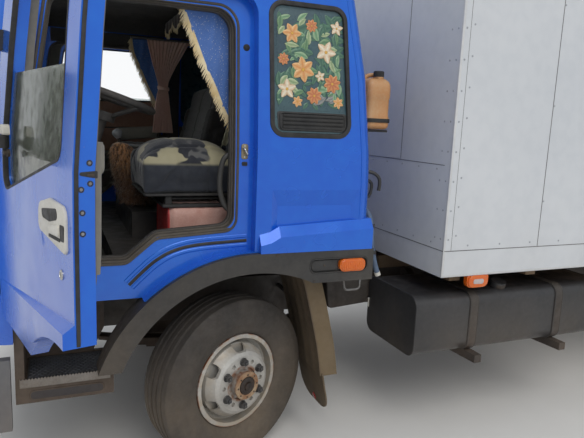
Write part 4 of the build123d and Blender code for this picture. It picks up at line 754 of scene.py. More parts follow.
    FAR_TRIM = Finish("brown_trim", (0.17, 0.085, 0.055), (0.22, 0.12, 0.08), 4, (0.5, 0.7), grain=380, relief=0.0005,
        slot="interior_trim")
    BENCH = Woven("bench_cloth", (0.075, 0.07, 0.068), (0.12, 0.11, 0.10), 5, (0.8, 0.95), sheen=0.3, relief=0.0006,
        slot="bunk_cloth")
    BUNK = Woven("bunk_cloth", (0.16, 0.12, 0.085), (0.22, 0.17, 0.12), 5, (0.8, 0.95), sheen=0.3, relief=0.0006)
    BLUE_CLOTH = Sprigged("blue_curtain", (0.065, 0.150, 0.42), (0.090, 0.190, 0.50), 8, (0.8, 0.95), sheen=0.3,
        relief=0.0004, fleck=(0.50, 0.50, 0.50), fleck_scale=95, fleck_size=0.22, slot="curtain_cloth")
    # Rose cloth paler than its dye: the colour carries painted light of the sun shining through the far curtain.
    ROSE_CLOTH = Sprigged("rose_curtain", (0.85, 0.52, 0.42), (0.95, 0.70, 0.60), 5, (0.75, 0.92), sheen=0.4,
        relief=0.0004, fleck=(0.45, 0.33, 0.30), fleck_size=0.1, slot="curtain_cloth")
    VALANCE = Sprigged("valance_cloth", (0.035, 0.022, 0.02), (0.07, 0.04, 0.035), 8, (0.8, 0.95), sheen=0.3,
        relief=0.0004, fleck=(0.45, 0.30, 0.14), fleck_size=0.12, slot="curtain_cloth")
    FRINGE = Woven("gold_fringe", (0.70, 0.52, 0.24), (0.85, 0.74, 0.50), 20, (0.6, 0.8), sheen=0.5, relief=0.0005,
        threads=900, slot="curtain_cloth")
    CAN = Finish("can_plastic", (0.62, 0.27, 0.09), (0.66, 0.42, 0.22), 5, (0.35, 0.55), grain=60, relief=0.0006,
        clear=0.15, dust=(0.30, 0.20, 0.12), dusty=0.5, dust_top=3)
    FUR = Furry("brown_fur", (0.085, 0.040, 0.020), (0.62, 0.32, 0.14), 8, (0.85, 0.98), sheen=0.5, grain=70,
        relief=0.006, slot="gaiter_leather")
    CREAM = Finish("cream_bezel", (0.62, 0.60, 0.54), (0.50, 0.48, 0.43), 12, (0.3, 0.5), grain=200, relief=0.0003,
        specks=0.4, slot="mirror_housing")
    CHROME = Finish("bright_metal", (0.62, 0.62, 0.60), (0.48, 0.46, 0.42), 9, (0.18, 0.4), 0.9, grain=200,
        relief=0.0002, slot="step_metal")
    BRASS = Finish("brass_plate", (0.42, 0.34, 0.18), (0.26, 0.22, 0.15), 12, (0.3, 0.5), 0.8, grain=200,
        slot="step_metal")
    RUST = Finish("rusty_ring", (0.24, 0.11, 0.05), (0.42, 0.33, 0.22), 14, (0.7, 0.9), 0.1, grain=160, relief=0.0015,
        slot="cast_dark")
    GREASE = Finish("greasy_hub", (0.012, 0.010, 0.009), (0.06, 0.04, 0.03), 18, (0.3, 0.7), 0.2, grain=160,
        relief=0.0015, slot="cast_dark")
    RED_PIPING = Finish("red_piping", (0.50, 0.03, 0.03), (0.40, 0.05, 0.05), 9, (0.4, 0.6), grain=300,
        slot="bunk_cloth")
    LEATHERETTE = Finish("rose_leatherette", (0.50, 0.25, 0.20), (0.60, 0.36, 0.30), 7, (0.45, 0.7), sheen=0.2,
        grain=260, relief=0.0012)
    MOTTLED = Sprigged("mottled_wall_cloth", (0.014, 0.011, 0.009), (0.035, 0.024, 0.016), 12, (0.85, 0.95), sheen=0.3,
        relief=0.0006, fleck=(0.11, 0.075, 0.04), fleck_scale=42, fleck_size=0.34, slot="curtain_cloth")
    KNOB = Finish("grey_knob", (0.30, 0.31, 0.33), (0.17, 0.18, 0.19), 20, (0.3, 0.5), coat=0.3, grain=260,
        slot="mirror_housing")
    MUD_LIGHT = Finish("guard_rim", (0.11, 0.078, 0.045), (0.16, 0.115, 0.065), 3, (0.7, 0.9), grain=120, relief=0.0012,
        dust=(0.19, 0.14, 0.08), dusty=0.8, dust_top=1.4, slot="mud_rubber")
    HOSE = Finish("hose_grey", (0.10, 0.15, 0.23), (0.07, 0.10, 0.16), 12, (0.45, 0.65), grain=200, dusty=0.3,
        slot="dark_plastic")
    RIVET = Finish("rivet", (0.42, 0.44, 0.47), (0.30, 0.31, 0.33), 30, (0.3, 0.5), 0.5, grain=300, slot="box_panel")
    LINING = Finish("roof_lining", (0.05, 0.047, 0.045), (0.085, 0.078, 0.07), 3, (0.8, 0.95), grain=600, relief=0.0008,
        slot="interior_trim")

    @classmethod
    def of(cls, finish: Finish) -> bpy.types.Material:
        """The finish's material, made at its first use."""
        if finish.name not in cls.made:
            cls.made[finish.name] = finish.build()
        return cls.made[finish.name]


F = Finishes


# Putting pieces on the truck

@dataclass
class Fitter:
    """Makes pieces of one sub-assembly, on one body."""

    body: str
    placing: Placing = Placing()
    prefix: str = ""

    def __call__(self, name: str, shape: Shape, finish: Finish, sharp: float = 35, slot: str = "", merge: bool = True,
            replaces: Sequence[str] = ()) -> Object:
        """Make a piece of a shape.

        Args:
            name: Piece name after the prefix.
            shape: Layout shape.
            finish: Its finish.
            sharp: Faces that meet at more degrees than this show an edge.
            slot: The record's slot, where it isn't the finish's own.
            merge: Whether points in one place become one, and faces turn outwards.
            replaces: CAD nodes it stands for.

        Returns:
            The object, riding on the body.
        """
        slot = slot or finish.slot or finish.name
        mesh = bpy.data.meshes.new(self.prefix + name)
        mesh.from_pydata(self.placing(shape.points).tolist(), [], shape.faces)
        if shape.lay is not None:
            mesh.attributes.new("lay", "FLOAT_VECTOR", "POINT").data.foreach_set("vector", shape.lay.ravel())
        if shape.paint is not None:
            mesh.attributes.new("paint", "FLOAT_COLOR", "POINT").data.foreach_set("color", shape.paint.ravel())
        if merge:
            edit = bmesh.new()
            edit.from_mesh(mesh)
            bmesh.ops.remove_doubles(edit, verts=edit.verts, dist=MERGE_WITHIN)
            bmesh.ops.dissolve_degenerate(edit, edges=edit.edges, dist=NO_LENGTH)
            bmesh.ops.recalc_face_normals(edit, faces=edit.faces)
            edit.to_mesh(mesh)
            edit.free()
        mesh.polygons.foreach_set("use_smooth", np.ones(len(mesh.polygons), bool))
        mesh.set_sharp_from_angle(angle=math.radians(sharp))
        mesh.materials.append(F.of(finish))
        piece = bpy.data.objects.new(self.prefix + name, mesh)
        bpy.context.scene.collection.objects.link(piece)
        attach(piece, self.body)
        if replaces:
            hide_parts(*replaces)
        LOG.info("%s on %s, %d faces", piece.name, self.body, len(mesh.polygons))
        return piece


def finish_level(piece: Object, levels: int = 1) -> None:
    """Give a piece a subdivision surface with the same level on screen and in the render."""
    modifier = piece.modifiers.new("round", "SUBSURF")
    modifier.levels = modifier.render_levels = levels


@dataclass(frozen=True)
class Studio:
    """Pale floor, soft light and the photograph's camera."""

    eye: tuple[float, float, float] = (844.4, 3466, 1688.2)
    yaw: float = -0.3991
    pitch: float = -0.1673
    roll: float = 0.0433
    focal_px: float = 571.43
    sensor: float = 36
    floor_half: float = 40

    def camera(self) -> None:
        """Camera from the photograph's own fit: forward from yaw and pitch, then rolled about it."""
        forward = np.array([math.sin(self.yaw) * math.cos(self.pitch), -math.cos(self.yaw) * math.cos(self.pitch),
            math.sin(self.pitch)])
        right = np.cross(forward, [0, 0, 1])
        right /= np.linalg.norm(right)
        up = np.cross(right, forward)
        across = right * math.cos(self.roll) + up * math.sin(self.roll)
        upright = -right * math.sin(self.roll) + up * math.cos(self.roll)
        turn = np.eye(4)
        turn[:3, 0], turn[:3, 1], turn[:3, 2] = across, upright, -forward
        turn[:3, 3] = (np.array(self.eye) + SHIFT) * MM
        data = bpy.data.cameras.new("camera")
        data.sensor_fit, data.sensor_width = "HORIZONTAL", self.sensor
        data.lens = self.focal_px / IMAGE_WIDTH * self.sensor
        data.clip_end = 200
        camera = bpy.data.objects.new("camera", data)
        camera.matrix_world = Matrix(turn.tolist())
        bpy.context.scene.collection.objects.link(camera)
        bpy.context.scene.camera = camera

    def light(self) -> None:
        """A pale sky that lights plainly and shows white behind the truck, and one wide soft sun."""
        scene = bpy.context.scene
        scene.view_settings.view_transform = "Standard"
        world = bpy.data.worlds.new("sky")
        world.use_nodes = True
        nodes, links = world.node_tree.nodes, world.node_tree.links
        nodes.clear()
        path = nodes.new("ShaderNodeLightPath")
        plain, shown = nodes.new("ShaderNodeBackground"), nodes.new("ShaderNodeBackground")
        plain.inputs[0].default_value, plain.inputs[1].default_value = (0.93, 0.96, 1, 1), 0.72
        shown.inputs[0].default_value, shown.inputs[1].default_value = (0.95, 0.96, 0.97, 1), 1
        most = nodes.new("ShaderNodeMath")
        most.operation = "MAXIMUM"
        links.new(path.outputs["Is Camera Ray"], most.inputs[0])
        links.new(path.outputs["Is Transmission Ray"], most.inputs[1])
        mixed, out = nodes.new("ShaderNodeMixShader"), nodes.new("ShaderNodeOutputWorld")
        links.new(most.outputs[0], mixed.inputs[0])
        links.new(plain.outputs[0], mixed.inputs[1])
        links.new(shown.outputs[0], mixed.inputs[2])
        links.new(mixed.outputs[0], out.inputs[0])
        scene.world = world
        sun = bpy.data.lights.new("soft_sun", "SUN")
        sun.energy, sun.angle, sun.color = 1.1, math.radians(40), (1, 0.97, 0.92)
        lamp = bpy.data.objects.new("soft_sun", sun)
        lamp.rotation_euler = (math.radians(42), math.radians(14), math.radians(160))
        scene.collection.objects.link(lamp)

    def floor(self) -> None:
        """A plain pale floor."""
        half = self.floor_half
        u = np.linspace(-half, half, 9)
        grid = np.stack(np.meshgrid(u, u, indexing="ij") + [np.zeros((9, 9))], -1)
        shape = lattice(grid)
        mesh = bpy.data.meshes.new("floor")
        mesh.from_pydata(shape.points.tolist(), [], [face[::-1] for face in shape.faces])
        mesh.materials.append(Finish("floor_paint", (0.74, 0.73, 0.71), (0.78, 0.77, 0.75), 0.3, (0.8, 0.9)).build())
        floor = bpy.data.objects.new("floor", mesh)
        bpy.context.scene.collection.objects.link(floor)

    def build(self) -> None:
        """Set up the studio."""
        self.camera()
        self.light()
        self.floor()


@dataclass(frozen=True)
class FrameDress:
    """Finishes of the CAD nodes that stay."""

    by_slot: dict = field(default_factory=lambda: {"cab_paint": F.PAINT, "interior_trim": F.TRIM,
        "dark_plastic": F.PLASTIC, "window_glass": F.GLASS, "picture_panel": F.ART_GROUND, "lamp_glass": F.WHITE_LENS,
        "amber_lamp": F.AMBER, "marker_lamp": F.AMBER, "step_metal": F.SKIRT, "bumper_paint": F.BUMPER,
        "chassis_black": F.CHASSIS, "cast_dark": F.CAST, "tank_black": F.TANK, "box_panel": F.PANEL,
        "box_floor_wood": F.WOOD, "box_steel": F.STEEL, "wheel_paint": F.WHEEL, "tyre_rubber": F.TYRE,
        "mud_rubber": F.MUD, "seat_cloth": F.SEAT, "bunk_cloth": F.BUNK, "curtain_cloth": F.ROSE_CLOTH,
        "can_plastic": F.CAN, "gaiter_leather": F.FUR, "mirror_housing": F.PLASTIC})
    by_node: dict = field(default_factory=lambda: {"dashboard": F.DASH, "steering_wheel": F.DASH,
        "cab_floor": F.CHASSIS, "box_floor": F.WOOD, "left_door_glass": F.DUSTY_GLASS})

    def build(self) -> None:
        """Give every CAD node its finish, the wheels each with its own axle."""
        for name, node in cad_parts.items():
            finish = self.by_node.get(name) or self.by_slot[node.data.materials[0].name.split(".")[0]]
            for index in range(len(node.data.materials)):
                node.data.materials[index] = F.of(finish)
        for wheel in WHEELS:
            centre = tuple((np.array(wheel.axle.centre) + SHIFT) * MM)
            paint = WheelPaint(f"wheel_paint_{wheel.name}", F.WHEEL.colour, F.WHEEL.drift, 5, (0.35, 0.6), 0.35,
                grain=160, relief=0.0006, dust=F.WHEEL.dust, dusty=0.3, dust_top=0.8, centre=centre,
                axis=wheel.axle.along)
            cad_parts[wheel.rim_node].data.materials[0] = F.of(paint)


# Wheels

@dataclass(frozen=True)
class Wheel:
    """One wheel end: tyres with ribs, nuts and hub. Offsets run outwards from the axle's centre."""

    name: str
    axle: Axle
    body: str
    rim_node: str
    tyre_node: str
    tyre_offsets: tuple[float, ...] = (0,)
    face: float = 128
    nose: float = 160
    nose_radius: float = 66
    stud_ring: float = 111.1
    segments: int = 96

    def tyre_profile(self) -> Array:
        """Section of the tyre: a smooth flank, then the tread with four grooves sunk by a flat-bottomed dip."""
        flank = smooth_line([(222.3, 75.7), (236, 76.5), (243, 88), (262, 99.5), (290, 108.5), (322, 112.3), (352, 111),
            (376, 106.5), (394, 101.5), (404, 98.5), (410.5, 95)], 34)
        ring = (np.abs(flank[:, 0] - 300) < 5.5) | (np.abs(flank[:, 0] - 374) < 6)
        flank[:, 1] += ring * 1.3
        across = np.linspace(93, -93, 63)
        crown = 417.6 - 5.5 * (np.abs(across) / 93) ** 2.6
        groove = np.zeros_like(across)
        for middle in (-57, -19.5, 19.5, 57):
            groove = np.maximum(groove, np.clip(2.4 - np.abs(across - middle) / 3.2, 0, 1))
        tread = xyz(crown - 9.5 * groove, across)
        inner = np.array([(222.3, -50), (222.3, 50)])
        return np.vstack([flank, tread, flank[::-1] * [1, -1], inner])

    def build(self) -> None:
        """Make the tyres, nuts and hub."""
        fit = Fitter(self.body, prefix=self.name + "_")
        across = np.array(self.axle.along)
        tyres = []
        for offset in self.tyre_offsets:
            middle = Axle(tuple(np.array(self.axle.centre) + across * offset), self.axle.along)
            tyres.append(middle.turned(self.tyre_profile(), self.segments - 16 * (len(self.tyre_offsets) - 1),
                loop=True))
        fit("ribbed_tyre", joined(tyres), F.TYRE, 30, replaces=[self.tyre_node])
        fit("wheel_nuts", joined(self.nut(i) for i in range(6)), F.NUT, 30)
        out, r = self.nose, self.nose_radius
        fit("hub_ring", self.axle.turned([(r * 0.70, out - 3), (r + 3, out - 3), (r + 4, out + 1), (r + 1, out + 6),
            (r * 0.76, out + 7), (r * 0.70, out + 4)], 48, loop=True), F.RUST)
        fit("hub_cap", self.axle.turned([(0, out - 3), (r * 0.68, out - 3), (r * 0.66, out + 6), (r * 0.52, out + 12),
            (r * 0.36, out + 13), (r * 0.33, out + 22), (r * 0.2, out + 25), (0, out + 26)], 32), F.GREASE)
        fit("hub_bolts", heads(self.axle.at(r * 0.86, turns(8), out + 7), self.axle.along, 5, 4, 6), F.CAST)

    def nut(self, number: int) -> Shape:
        """A hexagonal wheel nut on its round washer, with the stud's end."""
        turn = number * math.pi / 3
        centre = self.axle.at(np.array(self.stud_ring), np.array(turn), np.array(self.face))
        spot = Axle(tuple(centre), self.axle.along)
        washer = spot.turned([(0, -2), (21, -2), (21, 3), (19, 5), (0, 5)], 20)
        nut = spot.turned([(0, 4), (17.5, 4), (18.5, 6), (18.5, 20), (16, 24), (11, 24), (0, 24)], 6)
        stud = spot.turned([(0, 20), (8.5, 20), (8.5, 32), (7, 34), (0, 34)], 12)
        return joined([washer, nut, stud])


def wheel_list() -> tuple[Wheel, ...]:
    """The four wheel ends, each at its place with the steering as it stands."""
    s, c = math.sin(STEER_AT_REST), math.cos(STEER_AT_REST)
    ends = []
    for side in Side:
        k, w = side.value, side.word
        out = (-s * k, c * k, 0)
        centre = (90 + 90 * out[0], 760 * k + 90 * out[1], 418)
        ends.append(Wheel(f"front_{w}", Axle(centre, out), f"wheel_front_{w}", f"front_{w}_wheel", f"front_{w}_tyre"))
    for side in Side:
        k, w = side.value, side.word
        ends.append(Wheel(f"rear_{w}", Axle((-4160, 702 * k, 418), (0, float(k), 0)), f"wheels_rear_{w}",
            f"rear_{w}_wheels", f"rear_{w}_tyres", (0, 256), 140, 198, 81))
    return tuple(ends)


WHEELS = wheel_list()


# Cab sides

SILL = ((92, 1202, 60), (440, 1178, 70), (565, 1072, 50), (925, 1072, 60))
QUARTER = [(-62, 1633, 55), (-446, 1633, 55), (-408, 2205, 55), (-50, 2205, 55)]
ART_BOTTOM = 1744


def doorway_outline(grow: float) -> Array:
    """The doorway's edge, grown: straight runs with rounded corners, and a sill that drops ahead of the wheel arch."""
    front, top = 925 + grow, 2165 + grow
    sill = np.array(SILL) + np.array([[-grow, -grow, 0], [0, -grow, 0], [0, -grow, 0], [grow, -grow, 0]])
    rest = [(front, 1660, 120), (front - 0.16 * (top - 1660), top, 70), (92 - grow, top, 90)]
    return rounded([*map(tuple, sill), *rest], 9, 12)


@dataclass(frozen=True)
class CabSide:
    """Rubber, garnish and fittings of one cab side."""

    side: Side
    rebate: float = 60
    slats: int = 4

    def build(self) -> None:
        """Make this side's pieces."""
        fit = Fitter("cab", Placing(self.side), f"cab_{self.side.word}_")
        self.seals(fit)
        self.quarter(fit)
        self.garnish(fit)
        self.pillar(fit)
        self.rear_corner(fit)

    def seals(self, fit: Fitter) -> None:
        """Door seals: round bulbs and flat linings carried round the doorway, and the sill's rubber."""
        for name, grow, depth, radius in (("door_seal", 11, self.rebate, 6), ("inner_seal", -3, self.rebate + 33, 8.5)):
            line = doorway_outline(grow)
            path = on_flank(depth)(*line.T, 0)
            fit(name, carried(path, circle(radius, 10), closed=True), F.SILL_RUBBER, 60)
        for name, grow, depth, wide, deep, finish in (("doorway_lining", -7, 112, 9, 14, F.DASH),
                ("seal_foot", -1.5, 78, 2.5, 19, F.SILL_RUBBER)):
            line = doorway_outline(grow)
            path = on_flank(depth)(*line.T, 0)
            fit(name, carried(path, rect((-wide, wide), (-deep, deep), 2, 4), closed=True), finish, 40,
                slot="interior_trim")
        x = np.linspace(112, 880, 60)
        z = np.interp(x, *np.array(SILL)[:, :2].T) + 1
        fit("sill_rubber", carried(xyz(x, 990, z), rounded([(-16, -7, 3), (16, -7, 3), (15, 4, 3), (-15, 4, 3)], 4),
            (0, 0, 1)), F.SILL_RUBBER, 45)
        self.steps_in_sill(fit)

    def steps_in_sill(self, fit: Fitter) -> None:
        """Strips on the rebate under the doorway: a black strip of painted shadow along the rebate's step, between two
        beads in body paint.
        """
        line = smooth_line([(30, 1143), (255, 1131), (364, 1109), (440, 1070), (500, 1020), (556, 966)], 60)
        bead = circle(9, 12, 0.36)
        # The black strip is painted shadow along the rebate's step, not a separate rubber.
        for name, drop, section, finish in (("gutter_rubber", 0, circle(7.5, 10, 0.4), F.RUBBER),
                ("upper_bead", -22, bead, F.PAINT), ("lower_bead", 20, bead, F.PAINT)):
            away = xyz(-np.gradient(line[:, 1]), np.gradient(line[:, 0]))
            away *= drop / np.linalg.norm(away, axis=1, keepdims=True)
            row = line - away
            fit(name, carried(on_flank(self.rebate)(*row.T, 0), section), finish, 60)

    def quarter(self, fit: Fitter) -> None:
        """Quarter window: black surround, painted panel with leaves and blossoms, and a louvre under it."""
        fit("quarter_surround", carried(on_flank()(*rounded(QUARTER, 9, 10).T, 0),
            rounded([(-11, -6, 2), (14, -6, 2), (12, 4, 3), (-7, 6, 3)], 4), closed=True), F.RUBBER, 45)
        lay = on_flank(6)
        fit("louvre_back", slab(rounded([(-90, 1650, 22), (-432, 1650, 30), (-430, 1736, 10), (-82, 1736, 10)], 6, 9),
            -2, 1.6, lay, 1.2), F.PLASTIC)
        fit("louvre_frame", carried(lay(*rounded([(-100, 1656, 16), (-424, 1656, 22), (-421, 1730, 10),
            (-96, 1730, 10)], 6, 9).T, 3), circle(3.6, 8), closed=True), F.PLASTIC)
        x = np.linspace(-110, -412, 24)
        slat = rounded([(-1.5, -7, 1), (2.2, -7, 1), (7.5, 5, 1), (3.5, 5.5, 1)], 3)
        fit("louvre_slats", joined(carried(lay(x, 1667 + number * 17.5, 4), slat, (0, 0, 1))
            for number in range(self.slats)), F.PLASTIC)
        QuarterPainting(self.side).build(fit)

    def garnish(self, fit: Fitter) -> None:
        """Blank plate in the lamp pocket, lamp rim and lens ribs, and screws."""
        fit("pocket_plate", slab(rounded([(-270, 995, 22), (-406, 995, 6), (-406, 1049, 6), (-270, 1049, 22)], 8, 6), 0,
            7, across_y(1078), 2.5), F.PLASTIC)
        fit("pocket_rim", carried(across_y(1092)(*rect((-262, -568), (988, 1056), 27, 8, 8).T, 0), circle(3.2, 8),
            closed=True), F.PLASTIC)
        fit("lamp_dome", slab(rect((-418, -548), (994, 1048), 24, 8, 6), 6, 13, across_y(1092), 6), F.AMBER)
        x = np.linspace(-428, -538, 12)
        fit("lamp_ribs", joined([carried(xyz(at, 1105.2, np.linspace(1002, 1040, 12)), circle(1.6, 6)) for at in x]),
            F.AMBER)
        fit("garnish_screws", heads([(-338, 1085, 1022), (-285, 1092, 950), (-90, 1092, 1083)], (0, 1, 0), 5.5, 2.6,
            12), F.CAST, slot="dark_plastic")

    def pillar(self, fit: Fitter) -> None:
        """Striker, buffer and plug on the door pillar, and the grab handle inside it."""
        skin = float(flank_y(np.array(1550))) - self.rebate
        fit("striker_plate", slab(rect((34, 66), (1516, 1584), 10, 6, 4), -1, 3, across_y(skin), 1.2), F.BRASS)
        fit("striker_loop", carried(smooth_line([(42, skin + 2, 1536), (42, skin + 22, 1537), (50, skin + 27, 1550),
            (58, skin + 22, 1563), (58, skin + 2, 1564)], 18), circle(4.6, 10), (1, 0, 0.2)), F.CHROME, 60)
        fit("striker_screws", heads([(50, skin + 3, 1526), (50, skin + 3, 1575)], (0, 1, 0), 5, 2.5, 10), F.CHROME)
        fit("door_stop", Axle((44, float(flank_y(np.array(2005))) - self.rebate, 2005), (0, 1, 0)).turned(
            [(0, -1), (15, -1), (15, 2), (11, 3), (10, 5), (6, 5.8), (0, 5.8)], 20), F.RUBBER)
        fit("pillar_plug", slab(rect((36, 62), (1486, 1504), 5, 5, 3), -1, 4.5, across_y(skin), 2), F.RUBBER)
        fit("grab_handle", carried(smooth_line([(64, 938, 1540), (92, 930, 1536), (126, 926, 1505), (140, 925, 1430),
            (138, 925, 1360), (118, 927, 1300), (88, 932, 1272), (58, 940, 1268)], 44), circle(13, 12, 0.75)),
            F.PLASTIC, 60)

    def rear_corner(self, fit: Fitter) -> None:
        """A raised seam up the cab's rear corner: a low bead that follows the cab's form."""
        z = np.linspace(1200, 2255, 60)
        x = np.interp(z, LEVELS, REAR_XS) + 66
        fit("corner_bead", carried(xyz(x, flank_y(z) + 0.6, z), circle(5, 8, 0.6)), F.PAINT, 60)


@dataclass(frozen=True)
class Step:
    """Tread, toothed edge strip and pressed skirt of one entry step."""

    side: Side
    x: tuple[float, float] = (640, 966)
    top: float = 600
    face: float = 1040

    def build(self) -> None:
        """Make this step's pieces."""
        fit = Fitter("cab", Placing(self.side), f"step_{self.side.word}_")
        fit("tread", block(self.x, (806, self.face - 6), (self.top - 3, self.top + 1.6), 6), F.TREAD)
        across, along = np.meshgrid(np.arange(824, 1020, 17), np.arange(self.x[0] + 16, self.x[1] - 12, 22))
        along = along + 11 * (np.arange(across.shape[1]) % 2)[None, :]
        fit("tread_bars", joined([block((a - 8, a + 8), (b - 3.2, b + 3.2), (self.top, self.top + 4.6), 2.6)
            for a, b in zip(along.ravel(), across.ravel()) if a < self.x[1] - 12]), F.TREAD)
        pitch = np.arange(self.x[0], self.x[1] + 34, 6)
        teeth = xyz(pitch, self.top + 3 + 7 * (np.arange(len(pitch)) % 2))
        fit("toothed_edge", slab(np.vstack([teeth, [(teeth[-1, 0], self.top - 30), (self.x[0], self.top - 30)]]), -1,
            3.4, across_y(self.face)), F.TREAD_METAL, 30)
        # The pressed panel's near-black colour is painted shade of its recess.
        press = rect((668, 956), (514, 552), 16, 8, 7)
        fit("skirt_press", slab(press, -2, 2.4, across_y(self.face), 2), F.STEP_DARK)
        fit("skirt_rim", carried(across_y(self.face + 1)(*press.T, 0), circle(3, 8), closed=True), F.SKIRT, 60)


@dataclass(frozen=True)
class Lining:
    """Trim on the cab's inner faces: side panels, header strips and a roof lining."""

    wall: float = 100
    thick: float = 6

    def build(self) -> None:
        """Make the linings of both sides and of the roof."""
        for side in Side:
            fit = Fitter("cab", Placing(side), f"lining_{side.word}_")
            for name, x, z in (("pillar", (-46, 74), (1192, 2236)), ("under_window", (-520, -50), (1300, 1620)),
                    ("over_window", (-440, -50), (2212, 2252)), ("header", (78, 842), (2167, 2256)),
                    ("kick", (934, 1030), (960, 1640))):
                fit(name, self.panel(x, z), F.LINING, 50)
        Fitter("cab", prefix="lining_")("roof", self.roof(), F.LINING, 50)

    def panel(self, x: tuple[float, float], z: tuple[float, float]) -> Shape:
        """A panel of the side's lining: it follows the inner face, crowned by 0.75 * thick * (1 - u^6)(1 - v^6)."""
        a, b = np.meshgrid(np.linspace(*x, 15), np.linspace(*z, 31))
        u, v = (2 * (a - x[0]) / (x[1] - x[0]) - 1), (2 * (b - z[0]) / (z[1] - z[0]) - 1)
        rise = self.thick * (0.25 + 0.75 * (1 - u ** 6) * (1 - v ** 6))
        y = flank_y(b) - self.wall
        return plate(xyz(a, y - rise, b), xyz(a, y + 1, b))

    def roof(self) -> Shape:
        """The roof's lining: rings that follow the inner roof 8 mm under it, drawn to the middle."""
        table = np.array([(2264, 896, -436, 990), (2300, 848, -388, 936), (2346, 774, -308, 848),
            (2370, 652, -188, 728), (2371, 400, 60, 480), (2371, 60, 240, 300)])
        outer = np.stack([across_z(z)(*rect((rear, front), (-half, half), 55, 7).T, 0)
            for z, half, rear, front in table])
        lower = outer + [0, 0, -5]
        return tube(np.concatenate([outer[::-1], lower]))


